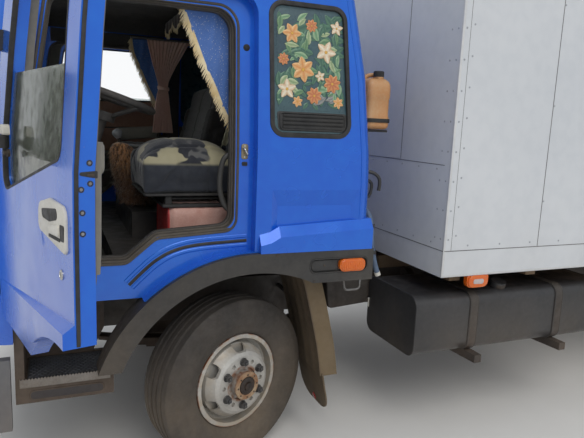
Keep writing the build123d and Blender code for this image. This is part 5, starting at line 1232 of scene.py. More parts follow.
@dataclass(frozen=True)
class QuarterPainting:
    """A painted screen of leaves and blossoms in the quarter window, in a layout of its own."""

    side: Side
    leaves: int = 120
    seed: int = 11

    def leaf(self, centre: Array, length: float, width: float, turn: float, colours: tuple[Colour, Colour],
            height: float, shape: float = 1, bend: float = 0.2) -> Shape:
        """A leaf on a grid: half width is width times sin(pi * s) to a power, about a bent midrib.

        Args:
            centre: Foot of the leaf on the panel, (x, z).
            length: Length in millimetres.
            width: Half width.
            turn: Direction in radians.
            colours: Colour at the midrib and at the edge.
            height: How far it stands off the panel.
            shape: Power of the outline, smaller for blunter.
            bend: Curve of the midrib.

        Returns:
            An open painted patch.
        """
        s = np.linspace(0, 1, 12)[:, None]
        t = np.linspace(-1, 1, 5)[None, :]
        half = width * np.sin(np.pi * np.clip(s, 0.001, 0.999)) ** shape * (1.15 - 0.45 * s)
        along = s * length + 0 * t
        across = t * half + bend * length * (s - s ** 2)
        a = centre[0] + along * math.cos(turn) - across * math.sin(turn)
        b = centre[1] + along * math.sin(turn) + across * math.cos(turn)
        rise = height + 0.5 * (1 - t ** 2) + 0 * s
        points = on_flank(6)(a, b, rise)
        vein = np.abs(np.sin(s * 26 + np.abs(t) * 3.5)) * 0.22 * (np.abs(t) > 0.1)
        blend = np.clip(np.abs(t) ** 0.8 * 0.8 + vein + 0 * s, 0, 1)[..., None]
        paint = np.array(colours[0]) * (1 - blend) + np.array(colours[1]) * blend
        shape_ = lattice(points)
        shape_.paint = np.concatenate([paint.reshape(-1, 3), np.ones((paint.size // 3, 1))], -1)
        return shape_

    def blossom(self, centre: Array, radius: float, petals: int, colours: tuple[Colour, Colour], height: float,
            turn: float) -> list[Shape]:
        """Petals in a ring about a yellow eye."""
        ring = [self.leaf(centre, radius, radius * 0.34, turn + i * 2 * math.pi / petals, colours, height, 0.62, 0.05)
            for i in range(petals)]
        eye = [self.leaf(centre - radius * 0.16 * np.array([math.cos(a), math.sin(a)]), radius * 0.32, radius * 0.12, a,
            ((0.75, 0.42, 0.06), (0.45, 0.20, 0.03)), height + 0.7, 0.5) for a in (0.3, 1.35, 2.4)]
        return ring + eye

    def build(self, fit: Fitter) -> None:
        """Paint the panel: a ground, big dim leaves behind, bright leaves, then blossoms in front."""
        draw = np.random.default_rng(self.seed)
        fit("quarter_ground", slab(rounded([(-90, ART_BOTTOM, 12), (-428, ART_BOTTOM, 12), (-398, 2186, 42),
            (-72, 2186, 42)], 9, 12), -2, 0.8, on_flank(6), 0.5), F.ART_GROUND)
        greens = (((0.07, 0.17, 0.08), (0.20, 0.34, 0.17)), ((0.10, 0.24, 0.12), (0.36, 0.50, 0.30)),
            ((0.03, 0.10, 0.07), (0.10, 0.22, 0.14)), ((0.20, 0.30, 0.14), (0.50, 0.56, 0.34)))
        warm = (((0.62, 0.25, 0.07), (0.80, 0.52, 0.24)), ((0.80, 0.74, 0.58), (0.62, 0.40, 0.22)),
            ((0.46, 0.13, 0.05), (0.72, 0.34, 0.12)))
        stone = ((0.16, 0.17, 0.17), (0.34, 0.34, 0.32))
        strokes: list[Shape] = []
        for number in range(self.leaves):
            back = number < self.leaves * 0.45
            spot = np.array([draw.uniform(-405, -95), draw.uniform(ART_BOTTOM + 25, 2160)])
            spot[0] *= 1 - 0.07 * (spot[1] - ART_BOTTOM) / 440
            size = draw.uniform(60, 105) if back else draw.uniform(30, 66)
            turn = draw.uniform(0, 2 * math.pi)
            tip = spot + size * np.array([math.cos(turn), math.sin(turn)])
            tip = np.clip(tip, [-408, ART_BOTTOM + 10], [-88, 2170])
            turn = math.atan2(*(tip - spot)[::-1])
            size = float(np.linalg.norm(tip - spot)) + 8
            colours = greens[2] if back else greens[int(draw.integers(0, 4))]
            if spot[1] < ART_BOTTOM + 70 and draw.random() < 0.5:
                colours = stone
            strokes.append(self.leaf(spot, size, size * draw.uniform(0.16, 0.3), turn, colours, 1 + number * 0.012,
                draw.uniform(0.6, 1), draw.uniform(-0.3, 0.3)))
        flowers = ((-150, 2080, 46, 0), (-318, 2010, 52, 1), (-205, 1925, 58, 0), (-352, 1870, 44, 2),
            (-128, 1835, 46, 1), (-262, 1812, 40, 2), (-370, 2120, 34, 1), (-245, 2120, 30, 2), (-110, 1965, 28, 2),
            (-290, 1900, 26, 1), (-180, 1782, 26, 0), (-385, 1785, 28, 0))
        for number, (x, z, radius, kind) in enumerate(flowers):
            strokes += self.blossom(np.array([x, z], float), radius, (6, 5, 8)[kind], warm[kind], 2.8 + number * 0.03,
                number * 0.7)
        piece = fit("quarter_leaves", joined(strokes), F.ART, 80, merge=False)
        thick = piece.modifiers.new("body", "SOLIDIFY")
        thick.thickness, thick.offset = 0.0004, -1 if self.side is Side.LEFT else 1


# Doors

WINDOW = [(118, 1572, 45), (838, 1405, 55), (838, 1640, 40), (756, 2150, 60), (118, 2150, 70)]


@dataclass(frozen=True)
class Door:
    """Fittings of one door, laid out closed and swung with it."""

    side: Side
    edge_radius: float = 756
    shut_face: float = 15.8

    def build(self) -> None:
        """Make this door's pieces."""
        swing = -DOOR_OPEN if self.side is Side.LEFT else 0
        fit = Fitter(f"door_{self.side.word}", Placing(self.side, swing), f"{self.side.word}_door_")
        fit("window_rubber", carried(on_flank(8)(*rounded(WINDOW, 10, 12).T, 0),
            rounded([(-4, -8, 2), (9, -8, 2), (7, 9, 3), (-2, 10, 3)], 4), closed=True), F.RUBBER, 45)
        self.edge(fit)
        self.handle(fit)
        self.clamp(fit)
        self.inside(fit)

    def edge(self, fit: Fitter) -> None:
        """Rubber strip round the leaf's shut face, with screws and the latch on its rear edge."""
        radius = self.edge_radius
        last, first = math.acos(24 / radius), math.asin((925 - ARCH_Z) / radius)
        angle = np.linspace(last, first, 28)
        arc = xyz(radius * np.cos(angle), ARCH_Z + radius * np.sin(angle))
        top, front = 2214, 968
        rest = rounded([(front, 925, 40), (front, 1670, 100), (front - 0.16 * (top - 1670), top, 60), (24, top, 90),
            (24, top - 300, 0.001)], 9)
        line = evenly(np.vstack([arc, rest]), 14)
        fit("edge_rubber", carried(on_flank(9)(line[:, 0] - 6 * (line[:, 0] < 30), line[:, 1], 0),
            rect((-6, 6), (-5, 5), 2, 4), closed=True), F.RUBBER, 50)
        x = self.shut_face
        places = np.array([(x, 1021, 1571), (x, 1020, 1521), (x, 1042, 1507), (x, 1040, 1450), (x, 1040, 1398)])
        fit("shut_screws", heads(places, (-1, 0, 0), 4.6, 2.2, 14), F.STEEL, slot="step_metal")
        fit("screw_rings", joined([Axle(tuple(p), (-1, 0, 0)).turned([(5, -1), (7.4, -1), (7.4, 1), (5, 1.4)], 16,
            loop=True) for p in places]), F.RUBBER)
        lay: Lay = lambda a, b, h: xyz(x - h, a, b)
        # A black patch as the latch's slot: painted shade where the cavity isn't modelled.
        fit("latch_slot", slab(rounded([(1046, 1541, 4), (1002, 1533, 2), (1002, 1552, 2), (1044, 1549, 4)], 5, 3), -1,
            1.2, lay, 0.5), F.RUBBER)
        fit("latch_fork", slab(rounded([(1030, 1539, 3), (1010, 1537, 3), (1010, 1546, 3), (1028, 1545, 3)], 4, 3), 0,
            4, lay, 1), F.CAST, slot="step_metal")

    def handle(self, fit: Fitter) -> None:
        """Handle: a cream drop-shaped plate with a dark cup and a square pull in it, black patches of painted shadow
        beside and under the pull, and a lock cylinder under it.
        """
        lay = on_flank()
        fit("handle_pocket", slab(rounded([(74, 1334, 24), (304, 1310, 24), (324, 1374, 24), (78, 1420, 24)], 9, 7), -9,
            0.9, lay, 0.5), F.PAINT)
        fit("handle_plate", slab(rounded([(56, 1336, 16), (58, 1458, 34), (206, 1464, 60), (318, 1440, 34),
            (322, 1362, 26)], 9, 6), -1, 8, lay, 5), F.CREAM, 50)
        # The two gap pieces are black patches of painted shadow at the pull's front end and under its lower edge.
        for name, corners, low, high, edge, finish in (("handle_cup", [(112, 1420, 14), (196, 1402, 16),
                (286, 1404, 16), (270, 1428, 12), (132, 1446, 12)], 7, 9.2, 0.8, F.RUBBER),
                ("handle_pull", [(100, 1378, 8), (196, 1372, 8), (202, 1392, 8), (104, 1408, 8)], 7, 13, 3, F.CREAM),
                ("handle_gap", [(62, 1370, 5), (96, 1368, 5), (98, 1410, 5), (60, 1412, 5)], 7, 9, 0.8, F.RUBBER),
                ("handle_gap_low", [(96, 1364, 3), (208, 1360, 3), (204, 1369, 3), (98, 1374, 3)], 7, 9, 0.8,
                F.RUBBER)):
            fit(name, slab(rounded(corners, 8, 4), low, high, lay, edge), finish, slot="mirror_housing")
        fit("lock", Axle((118, 1064, 1274), (0, 1, 0)).turned([(0, -2), (14, -2), (14, 2), (12, 4), (9, 4.5), (8.5, 3),
            (0, 3)], 24), F.CHROME)
        # A black patch as the keyway: painted shade in the slot.
        fit("lock_slot", slab(rect((116.6, 119.4), (1268, 1280), 0.8, 3), 2, 3.4, across_y(1064)), F.RUBBER)

    def clamp(self, fit: Fitter) -> None:
        """The mirror stay's foot on the window frame: a pale bracket, a dark clamp and its bolt."""
        skin = float(flank_y(np.array(1600)))
        fit("clamp_bracket", slab(rounded([(722, 1606, 8), (770, 1606, 8), (768, 1642, 12), (728, 1640, 12)], 6, 4), 0,
            24, across_y(skin), 5), F.CREAM)
        fit("clamp_barrel", Axle((746, skin + 16, 1562), (0, 0, 1)).turned([(0, 0), (15, 0), (17, 4), (17, 40),
            (14, 44), (0, 44)], 24), F.RUBBER, slot="mirror_housing")
        fit("clamp_stay", carried(smooth_line([(746, skin + 16, 1586), (800, skin + 26, 1588), (866, skin + 40, 1590)],
            16), circle(8, 10), (0, 0, 1)), F.PLASTIC, 60, slot="mirror_housing")
        fit("clamp_bolt", Axle((742, skin + 2, 1546), (0, 1, 0)).turned([(0, -2), (13, -2), (13, 6), (9, 8), (9, 15),
            (7, 17), (0, 17)], 18), F.CAST, slot="mirror_housing")

    def inside(self, fit: Fitter) -> None:
        """Inner panel: edge roll, arm rest, pads, pull strap, winder and catch, and the far door's raised sill."""
        y = 980
        inner: Lay = lambda a, b, h: xyz(a, y - h, b)
        edge = smooth_line([(124, 0, 1618), (124, 0, 1540), (124, 0, 1440), (127, 0, 1330), (138, 0, 1262)], 40)
        edge[:, 1] = flank_y(edge[:, 2]) - 78
        fit("trim_roll", carried(edge, rect((-13, 13), (-26, 26), 8, 5)), F.DOOR_TRIM, 50)
        fit("arm_rest", slab(rounded([(116, 1530, 26), (420, 1500, 30), (420, 1596, 20), (116, 1618, 14)], 9, 10), -26,
            34, inner, 14), F.DOOR_TRIM, 50)
        if self.side is Side.RIGHT:
            fit("far_sill", slab(rounded([(120, 1470, 12), (700, 1400, 12), (700, 1700, 60), (640, 1782, 40),
                (120, 1795, 14)], 9, 12), -6, 22, inner, 9), F.FAR_TRIM, 50)
            fit("far_sill_edge", carried(xyz(np.linspace(128, 620, 30), y - 14, np.linspace(1793, 1781, 30)),
                circle(11, 10, 0.6)), F.RUBBER, 60)
            # The groove is a black bead on the trim: painted shade in the sill's groove.
            fit("far_sill_groove", carried(xyz(np.linspace(130, 560, 30), y - 22, np.linspace(1604, 1594, 30)),
                circle(4.5, 8, 0.5)), F.RUBBER, 60)
        fit("lower_pad", slab(rounded([(130, 1224, 20), (442, 1200, 40), (578, 1094, 40), (880, 1094, 30),
            (880, 1236, 30), (130, 1310, 20)], 8, 14), -28, 4, inner, 6), F.DASH, 50)
        fit("inner_pad", slab(rounded([(170, 1330, 30), (800, 1250, 30), (800, 1362, 30), (170, 1450, 30)], 8, 16), -2,
            14, inner, 8), F.DASH, 50)
        fit("pull_strap", carried(smooth_line([(250, 955, 1392), (320, 925, 1388), (480, 922, 1366), (600, 950, 1350)],
            30), circle(12, 10, 0.7)), F.PLASTIC, 60)
        hub = Axle((650, y, 1215), (0, -1, 0))
        crank = hub.turned([(0, -1), (26, -1), (26, 8), (18, 14), (0, 14)], 24)
        fit("window_winder", joined([crank, carried(smooth_line([(650, y - 12, 1215), (610, y - 20, 1190),
            (560, y - 24, 1165)], 16), circle(8, 10, 0.6)), Axle((560, y - 24, 1165), (0, -1, 0)).turned(
            [(0, -4), (9, -4), (11, 8), (10, 24), (0, 26)], 18)]), F.PLASTIC)
        fit("inner_catch", slab(rounded([(690, 1438, 12), (800, 1420, 12), (800, 1384, 12), (690, 1402, 12)], 6, 6), -1,
            9, inner, 4), F.CHROME)


# Soft goods in the cab

@dataclass(frozen=True)
class Stuffing:
    """How a cushion swells: the size of its quads, its pressure, and how far a point may move."""

    quad: float = 0.009
    pressure: float = 4
    frames: int = 20
    most: float = 0.014
    groove: float = 0.007

    def remesh(self, piece: Object) -> None:
        """Give the piece even quads, which also joins its parts."""
        modifier = piece.modifiers.new("even", "REMESH")
        modifier.mode, modifier.voxel_size, modifier.use_smooth_shade = "VOXEL", self.quad, True
        self.keep(piece)

    def keep(self, piece: Object) -> None:
        """Replace the mesh by what its modifiers make of it."""
        graph = bpy.context.evaluated_depsgraph_get()
        mesh = bpy.data.meshes.new_from_object(piece.evaluated_get(graph))
        mesh.name = piece.name
        piece.modifiers.clear()
        piece.data = mesh

    def places(self, mesh: bpy.types.Mesh) -> Array:
        """Places of a mesh's points."""
        flat = np.empty(len(mesh.vertices) * 3)
        mesh.vertices.foreach_get("co", flat)
        return flat.reshape(-1, 3)

    def swell(self, piece: Object, floor: float | None = None, grooves: Sequence[tuple] = ()) -> None:
        """Remesh, let cloth under pressure round the form, press grooves into it and flatten its seat.

        A point moves by at most the stuffing's limit. A groove is a plane given by a normal, a level and a depth:
        points near it sink by depth * exp(-(distance / 7 mm)^2) along their own normals.

        Args:
            piece: Its start shape, a little smaller than the cushion.
            floor: Level that it rests on, in metres, which no point passes.
            grooves: Rows of ((x, y, z) normal, level in metres, depth in metres).
        """
        self.remesh(piece)
        start = self.places(piece.data)
        cloth = piece.modifiers.new("cloth", "CLOTH")
        cloth.settings.use_pressure = True
        cloth.settings.uniform_pressure_force = self.pressure
        cloth.settings.effector_weights.gravity = 0
        cloth.point_cache.frame_start, cloth.point_cache.frame_end = 1, self.frames
        for frame_number in range(1, self.frames + 1):
            bpy.context.scene.frame_set(frame_number)
        self.keep(piece)
        bpy.context.scene.frame_set(1)
        way = self.places(piece.data) - start
        length = np.linalg.norm(way, axis=1, keepdims=True)
        start = start + way * np.minimum(1, self.most / np.maximum(length, 1e-9))
        normals = np.empty(len(start) * 3)
        piece.data.vertices.foreach_get("normal", normals)
        normals = normals.reshape(-1, 3)
        for normal, level, depth in grooves:
            away = (start @ np.array(normal)) - level
            start = start - normals * (depth * np.exp(-(away / self.groove) ** 2))[:, None]
        if floor is not None:
            start[:, 2] = np.maximum(start[:, 2], floor)
        piece.data.vertices.foreach_set("co", start.ravel())
        piece.data.update()
        piece.data.polygons.foreach_set("use_smooth", np.ones(len(piece.data.polygons), bool))


def pad(low: Sequence[float], high: Sequence[float], crown: float, pull: float, lean: float = 0,
        rows: int = 15) -> Shape:
    """A crowned cushion form between two corners, before it swells.

    With u, v from -1 to 1 over the plan, the plan's edge is pulled in between its corners by
    pull * (1 - v^2) at |u| = 1 and the same the other way, the top is high + crown * (1 - u^4)(1 - v^4), and each
    level shifts by lean times its height share.

    Args:
        low: Lowest corner.
        high: Highest corner.
        crown: Rise of the middle over the rim.
        pull: How far the sides go in between corners.
        lean: Shift of the top along x.
        rows: Steps each way.

    Returns:
        A closed shape.
    """
    low, high = np.array(low, float), np.array(high, float)
    middle, half = (low + high) / 2, (high - low) / 2
    u = np.linspace(-1, 1, rows)[:, None] + np.zeros((1, rows))
    v = u.T
    x = middle[0] + u * (half[0] - pull * (1 - v ** 2) * np.abs(u) ** 3)
    y = middle[1] + v * (half[1] - pull * (1 - u ** 2) * np.abs(v) ** 3)
    top = high[2] - crown * (1 - (1 - u ** 4) * (1 - v ** 4))
    upper = xyz(x + lean, y, top)
    lower = xyz(x, y, np.full_like(x, low[2]))
    shape = lattice(upper) + lattice(lower)
    rim = np.concatenate([np.arange(rows), np.arange(1, rows) * rows + rows - 1,
        (rows - 1) * rows + np.arange(rows - 2, -1, -1), np.arange(rows - 2, 0, -1) * rows])
    after = np.roll(rim, -1)
    shape.faces += np.stack([rim, after, after + rows * rows, rim + rows * rows], -1).tolist()
    return shape


def tilted(shape: Shape, x: float, z: float, degrees: float) -> Shape:
    """The shape turned about a line along y through (x, z), its top going backwards."""
    angle = math.radians(degrees)
    a, b = shape.points[:, 0] - x, shape.points[:, 2] - z
    points = xyz(x + a * math.cos(angle) - b * math.sin(angle), shape.points[:, 1],
        z + a * math.sin(angle) + b * math.cos(angle))
    return Shape(points, shape.faces)


@dataclass(frozen=True)
class Seat:
    """One seat: a cushion with side rolls, a leaning back with side rolls, and a covered plinth."""

    name: str
    node: str
    y: tuple[float, float]
    top: float
    back_top: float
    plinth_y: tuple[float, float]
    cloth: Finish
    plinth_cloth: Finish
    places: int = 1
    crown: float = 16
    deep: float = 208
    lean: float = 14

    def build(self) -> None:
        """Make the seat's padded pieces, its piping and its plinth."""
        fit = Fitter("cab", prefix=self.name + "_")
        bottom = self.top - self.deep
        rolls = (self.y[0] + 22, self.y[1] - 22)
        cushion = fit("cushion", joined([pad((18, self.y[0] + 12, bottom), (470, self.y[1] - 12, self.top - 22),
            self.crown, 6)] + [pad((30, y - 34, bottom + 20), (462, y + 34, self.top - self.crown + 8), 12, 4, rows=9)
            for y in (rolls[0] + 26, rolls[1] - 26)]), self.cloth, slot="seat_cloth")
        split = [((0, 1, 0), (y + SHIFT[1]) * MM, 0.010) for y in self.joints()]
        Stuffing().swell(cushion, bottom * MM, split + [((1, 0, 0), (155 + SHIFT[0]) * MM, 0.007),
            ((1, 0, 0), (300 + SHIFT[0]) * MM, 0.007)])
        height = self.back_top - bottom - 60
        slab_ = pad((-112, self.y[0] + 20, bottom + 40), (-8, self.y[1] - 20, bottom + 40 + height), 26, 5)
        back = fit("back", tilted(joined([slab_] + [pad((-70, y - 30, bottom + 70), (14, y + 30, bottom + height - 120),
            16, 4, rows=9) for y in (self.y[0] + 52, self.y[1] - 52)]), -10, bottom + 60, self.lean), self.cloth,
            slot="seat_cloth", replaces=[self.node])
        levels = [((math.sin(math.radians(self.lean)), 0, math.cos(math.radians(self.lean))), level, 0.008)
            for level in self.back_levels(bottom, height)]
        Stuffing().swell(back, None, split + levels)
        for piece in (cushion, back):
            if piece is cushion and self.name == "driver":
                finish_level(piece)
        self.plinth(fit, bottom)

    def joints(self) -> list[float]:
        """Where the cover's seams run front to back."""
        return np.linspace(self.y[0] + 78, self.y[1] - 78, self.places + 1).tolist()

    def back_levels(self, bottom: float, height: float) -> list[float]:
        """Levels of the back's cross seams, measured along its lean, in metres."""
        angle = math.radians(self.lean)
        levels = []
        for share in (0.30, 0.52, 0.74):
            point = np.array([-60, 0, bottom + 40 + height * share]) - [-10, 0, bottom + 60]
            x = -10 + point[0] * math.cos(angle) - point[2] * math.sin(angle)
            z = bottom + 60 + point[0] * math.sin(angle) + point[2] * math.cos(angle)
            levels.append(((x + SHIFT[0]) * math.sin(angle) + z * math.cos(angle)) * MM)
        return levels

    def plinth(self, fit: Fitter, bottom: float) -> None:
        """The covered box under the cushion, with piping round its top and foot, and the cushion's tray."""
        x, y, top = (34, 350), self.plinth_y, 1288
        count, rows = 56, 36
        turn = turns(count)
        middle, half = (sum(y) / 2, (1052 + top) / 2), ((y[1] - y[0]) / 2, (top - 1052) / 2)
        form = xyz(np.sign(np.cos(turn)) * np.abs(np.cos(turn)) ** 0.42, np.sign(np.sin(turn)) * np.abs(np.sin(turn))
            ** 0.42)
        along = np.linspace(x[0], x[1], rows)
        share = (along - x[0]) / (x[1] - x[0])
        size = 1 - 0.10 * np.maximum(np.abs(2 * share - 1) - 0.86, 0) / 0.14
        wave = 1 + 0.006 * np.sin(share[:, None] * 31 + 2 * np.sin(turn * 2)[None, :])
        rings = xyz(along[:, None], middle[0] + half[0] * size[:, None] * wave * form[None, :, 0],
            middle[1] + half[1] * size[:, None] * wave * form[None, :, 1])
        fit("plinth", tube(rings), self.plinth_cloth, 50, slot="bunk_cloth")
        fit("plinth_piping", joined([carried(rings[row] + [off, 0, 0], circle(5, 8), (1, 0, 0), closed=True)
            for row, off in ((0, 2), (rows - 1, -2))]), F.RED_PIPING, 60)
        fit("plinth_end", slab(xyz(middle[0] + half[0] * 0.8 * form[:, 0], middle[1] + half[1] * 0.8 * form[:, 1]), -2,
            3, across_x(x[1]), 2), F.RED_PIPING, 60)
        stand = joined([block((60, 96), (y[0] + 30, y[1] - 30), (top - 12, bottom - 8), 8),
            block((330, 366), (y[0] + 30, y[1] - 30), (top - 12, bottom - 8), 8),
            block((90, 340), (y[1] - 70, y[1] - 46), (top + 14, bottom - 20), 6),
            block((60, 380), (y[0] + 10, y[1] - 10), (top - 20, top - 4), 6)])
        fit("stand", stand, F.CHASSIS)
        fit("tray", block((24, 462), (self.y[0] + 18, self.y[1] - 18), (bottom - 12, bottom + 1), 10), F.CHASSIS)


@dataclass(frozen=True)
class Bunk:
    """Bunk behind the seats: a covered board and a mattress, and mottled cloth on the wall behind it."""

    half: float = 935

    def build(self) -> None:
        """Make the bunk's pieces."""
        fit = Fitter("cab", prefix="bunk_")
        fit("board", block((-556, -217), (-self.half + 12, self.half - 12), (1192, 1286), 14), F.BENCH,
            replaces=["bunk"])
        mattress = fit("mattress", pad((-540, -self.half + 30, 1288), (-226, self.half - 30, 1404), 20, 8, rows=21),
            F.BUNK)
        lines = [((0, 1, 0), (y + SHIFT[1]) * MM, 0.008) for y in np.linspace(-700, 700, 5)]
        Stuffing(0.012).swell(mattress, 1288 * MM, lines)
        self.wall(fit)

    def wall(self, fit: Fitter) -> None:
        """Mottled cloth on the rear wall: it follows the wall's slope with soft upright waves."""
        y, z = np.meshgrid(np.linspace(-840, 840, 130), np.linspace(1430, 2215, 40))
        x = np.interp(z, LEVELS, REAR_XS) + 112 + 5 * np.sin(y / 31) + 3 * np.sin(y / 17 + z / 90)
        shape = lattice(xyz(x, y, z))
        shape.lay = xyz(y, z, 0).reshape(-1, 3) * MM
        cloth = fit("wall_cloth", shape, F.MOTTLED, 80)
        thicken(cloth, 0.0016)
        declare_cloth(cloth)


def thicken(piece: Object, amount: float) -> None:
    """Give a cloth piece its thickness, half to each side."""
    modifier = piece.modifiers.new("thickness", "SOLIDIFY")
    modifier.thickness, modifier.offset = amount, 0


def declare_cloth(piece: Object,
        length: float | None = None) -> None:
    """Log a sheet's flat cut: its own area over its length.

    Args:
        piece: The sheet, before its thickness.
        length: Length of the cut, or the piece's height.
    """
    area = sum(polygon.area for polygon in piece.data.polygons)
    corners = np.array([corner[:] for corner in piece.bound_box])
    length = length or float(np.ptp(corners[:, 2]))
    LOG.info("%s cut %.2f by %.2f m", piece.name, area / length, length)


@dataclass(frozen=True)
class DoorCurtains:
    """Curtains over one doorway: a blue one with a cut edge and fringe, and a rose one tied at half height."""

    side: Side
    top: float = 2228
    edge: tuple = ((312, 2228), (296, 2130), (256, 2040), (203, 1915), (160, 1830), (112, 1725), (78, 1668), (60, 1634))

    def build(self) -> None:
        """Make this side's curtains and rail."""
        fit = Fitter("cab", Placing(self.side), f"curtain_{self.side.word}_")
        rail = fit("rail", carried(xyz(np.linspace(-108, 318, 24), 872, self.top + 8), rect((-16, 16), (-5, 5), 2, 4),
            (0, 0, 1)), F.STEEL, 50, slot="curtain_cloth", replaces=["curtains"] if self.side is Side.LEFT else ())
        self.blue(fit, rail)
        if self.side is Side.RIGHT:
            self.rose(fit, rail)

    def blue(self, fit: Fitter, rail: Object) -> None:
        """Blue cloth: a grid from the pillar to the cut edge, with shallow folds that fade downwards."""
        line = smooth_line(self.edge, 70)
        share = np.linspace(0, 1, 34)[None, :]
        start = np.interp(line[:, 1], (1634, 1700, 2228), (58, 56, 48))[:, None]
        x = start + (line[:, :1] - start) * share
        z = line[:, 1:2] + 0 * share
        across = x - 48
        y = 877 + (3.4 * np.sin(across / 16) + 1.6 * np.sin(across / 7.3 + z / 60)) * (0.45 + 0.55 * (z - 1634) / 594)
        shape = lattice(xyz(x, y, z))
        shape.lay = xyz(x, z, 0).reshape(-1, 3) * MM
        cloth = fit("blue", shape, F.BLUE_CLOTH, 80)
        hem = xyz(line[:, 0], 877 + 3.4 * np.sin((line[:, 0] - 48) / 16) * 0.7, line[:, 1])
        fringe, braid = self.fringe(fit, "blue", hem)
        thicken(cloth, 0.0014)
        declare_cloth(cloth, 0.62)

    def fringe(self, fit: Fitter, name: str, hem: Array, drop: float = 30) -> tuple:
        """Gold fringe sewn to an edge: a braid along it, and bunches of thread that lean off it and droop."""
        braid = fit(name + "_braid", carried(hem, rect((-7, 7), (-2, 2), 1, 3)), F.FRINGE, 60)
        line = evenly(hem, FRINGE_STEP, closed=False)
        ahead = unit(np.gradient(line, axis=0))
        off = np.cross(ahead, [0, 1, 0])
        off *= np.sign(off[:, :1] + 1e-9)
        draw = np.random.default_rng(5)
        off = unit(off * 0.9 + [0, 0, -0.55] + draw.normal(0, 0.12, off.shape))
        length = drop * draw.uniform(0.75, 1.1, (len(line), 1, 1))
        s = np.linspace(0, 1, 5)[None, :, None]
        path = line[:, None] + off[:, None] * length * s + [0, 0, -0.35] * length * s ** 2
        width = np.interp(s[0, :, 0], [0, 0.2, 0.7, 1], [2, 3, 2.6, 1])
        turn = turns(5)
        side = unit(np.cross(off, [0, 1, 0]))
        ring = (path[:, :, None] + width[None, :, None, None] * (np.cos(turn)[None, None, :, None] * side[:, None, None]
            + np.sin(turn)[None, None, :, None] * np.array([0, 1, 0])))
        threads = fit(name + "_fringe", joined([tube(one) for one in ring]), F.FRINGE, 80)
        return threads, braid

    def rose(self, fit: Fitter, rail: Object) -> None:
        """Rose cloth: pleats run from the rail into a tie at half height, and open again below it."""
        z = np.concatenate([np.linspace(self.top - 2, 1925, 34), np.linspace(1912, 1872, 9),
            np.linspace(1862, 1572, 30)])
        left = np.interp(z, (1572, 1700, 1850, 1892, 1940, 2050, 2228), (24, 34, 52, 60, 52, 6, -92))
        right = np.interp(z, (1572, 1700, 1850, 1892, 1940, 2050, 2228), (172, 158, 134, 122, 132, 168, 212))
        u = np.linspace(0, 1, 190)[None, :]
        middle, half = (left + right)[:, None] / 2, (right - left)[:, None] / 2
        pinch = np.interp(half[:, 0], (31, 60, 152), (0.55, 1, 1))[:, None]
        depth = np.interp(half[:, 0], (31, 74, 152), (15, 15, 8.5))[:, None]
        pleats = 11
        phase = 2 * np.pi * pleats * (u + 0.012 * np.sin(5 * u * np.pi) + 0.008 * np.sin(z[:, None] / 90))
        x = middle + half * (2 * u - 1) + half * 0.06 * np.sin(2 * phase)
        y = 838 + depth * pinch * np.sin(phase) * np.interp(z, (1572, 1892, 2228), (1, 0.8, 1))[:, None]
        shape = lattice(xyz(x, y, z[:, None]))
        shape.lay = xyz(u * 1.1, z[:, None] * MM, 0).reshape(-1, 3)
        # The cloth's pale colour is painted light of the sun shining through it.
        cloth = fit("rose", shape, F.ROSE_CLOTH, 80)
        turn = turns(40)
        band = fit("tie", carried(xyz(91 + 40 * np.cos(turn), 838 + 21 * np.sin(turn), 1892 + 5 * np.cos(turn)),
            rounded([(-2, -13, 1.5), (2, -13, 1.5), (3.5, 0, 1.5), (2, 13, 1.5), (-2, 13, 1.5)], 3), (0, 0, 1),
            closed=True), F.ROSE_CLOTH, 60)
        thicken(cloth, 0.0012)
        declare_cloth(cloth, 0.656)


@dataclass(frozen=True)
class Valance:
    """Scalloped cloth across the head of the cab, with fringe along its scallops."""

    half: float = 690
    scallops: int = 5
    x: float = 108

    def build(self) -> None:
        """Make the valance and its fringe."""
        fit = Fitter("cab", prefix="valance_")
        y = np.linspace(-self.half, self.half, 260)
        step = 2 * self.half / self.scallops
        phase = ((y + self.half) % step) / step
        low = 2306 - 74 * np.sin(np.pi * phase) ** 0.8
        high = np.interp(np.abs(y), (0, 560, 700), (2322, 2322, 2316))
        share = np.linspace(0, 1, 16)[:, None]
        z = high[None, :] + (low - high)[None, :] * share
        x = self.x + (5 * np.sin(y / 21)[None, :] + 2.5 * np.sin(y / 9)[None, :]) * (0.4 + 0.6 * share)
        points = xyz(x, y[None, :], z)
        shape = lattice(points)
        shape.lay = points.reshape(-1, 3)[:, [1, 2, 0]] * MM
        cloth = fit("cloth", shape, F.VALANCE, 80)
        hem = points[-1]
        line = evenly(hem, FRINGE_STEP, closed=False)
        draw = np.random.default_rng(9)
        s = np.linspace(0, 1, 4)[None, :, None]
        length = 27 * draw.uniform(0.7, 1.1, (len(line), 1, 1))
        lean = np.concatenate([draw.normal(0, 0.1, (len(line), 2)), -np.ones((len(line), 1))], -1)
        path = line[:, None] + lean[:, None] * length * s
        width = np.interp(s[0, :, 0], [0, 0.3, 1], [1.8, 2.8, 1.2])
        turn = turns(5)
        ring = path[:, :, None] + width[None, :, None, None] * xyz(np.cos(turn), np.sin(turn), 0)
        threads = fit("fringe", joined(tube(one) for one in ring), F.FRINGE, 80)
        braid = fit("braid", carried(hem, rect((-2, 2), (-6, 6), 1, 3), (0, 0.001, 1)), F.FRINGE, 60)
        thicken(cloth, 0.0016)
        declare_cloth(cloth, 0.09)


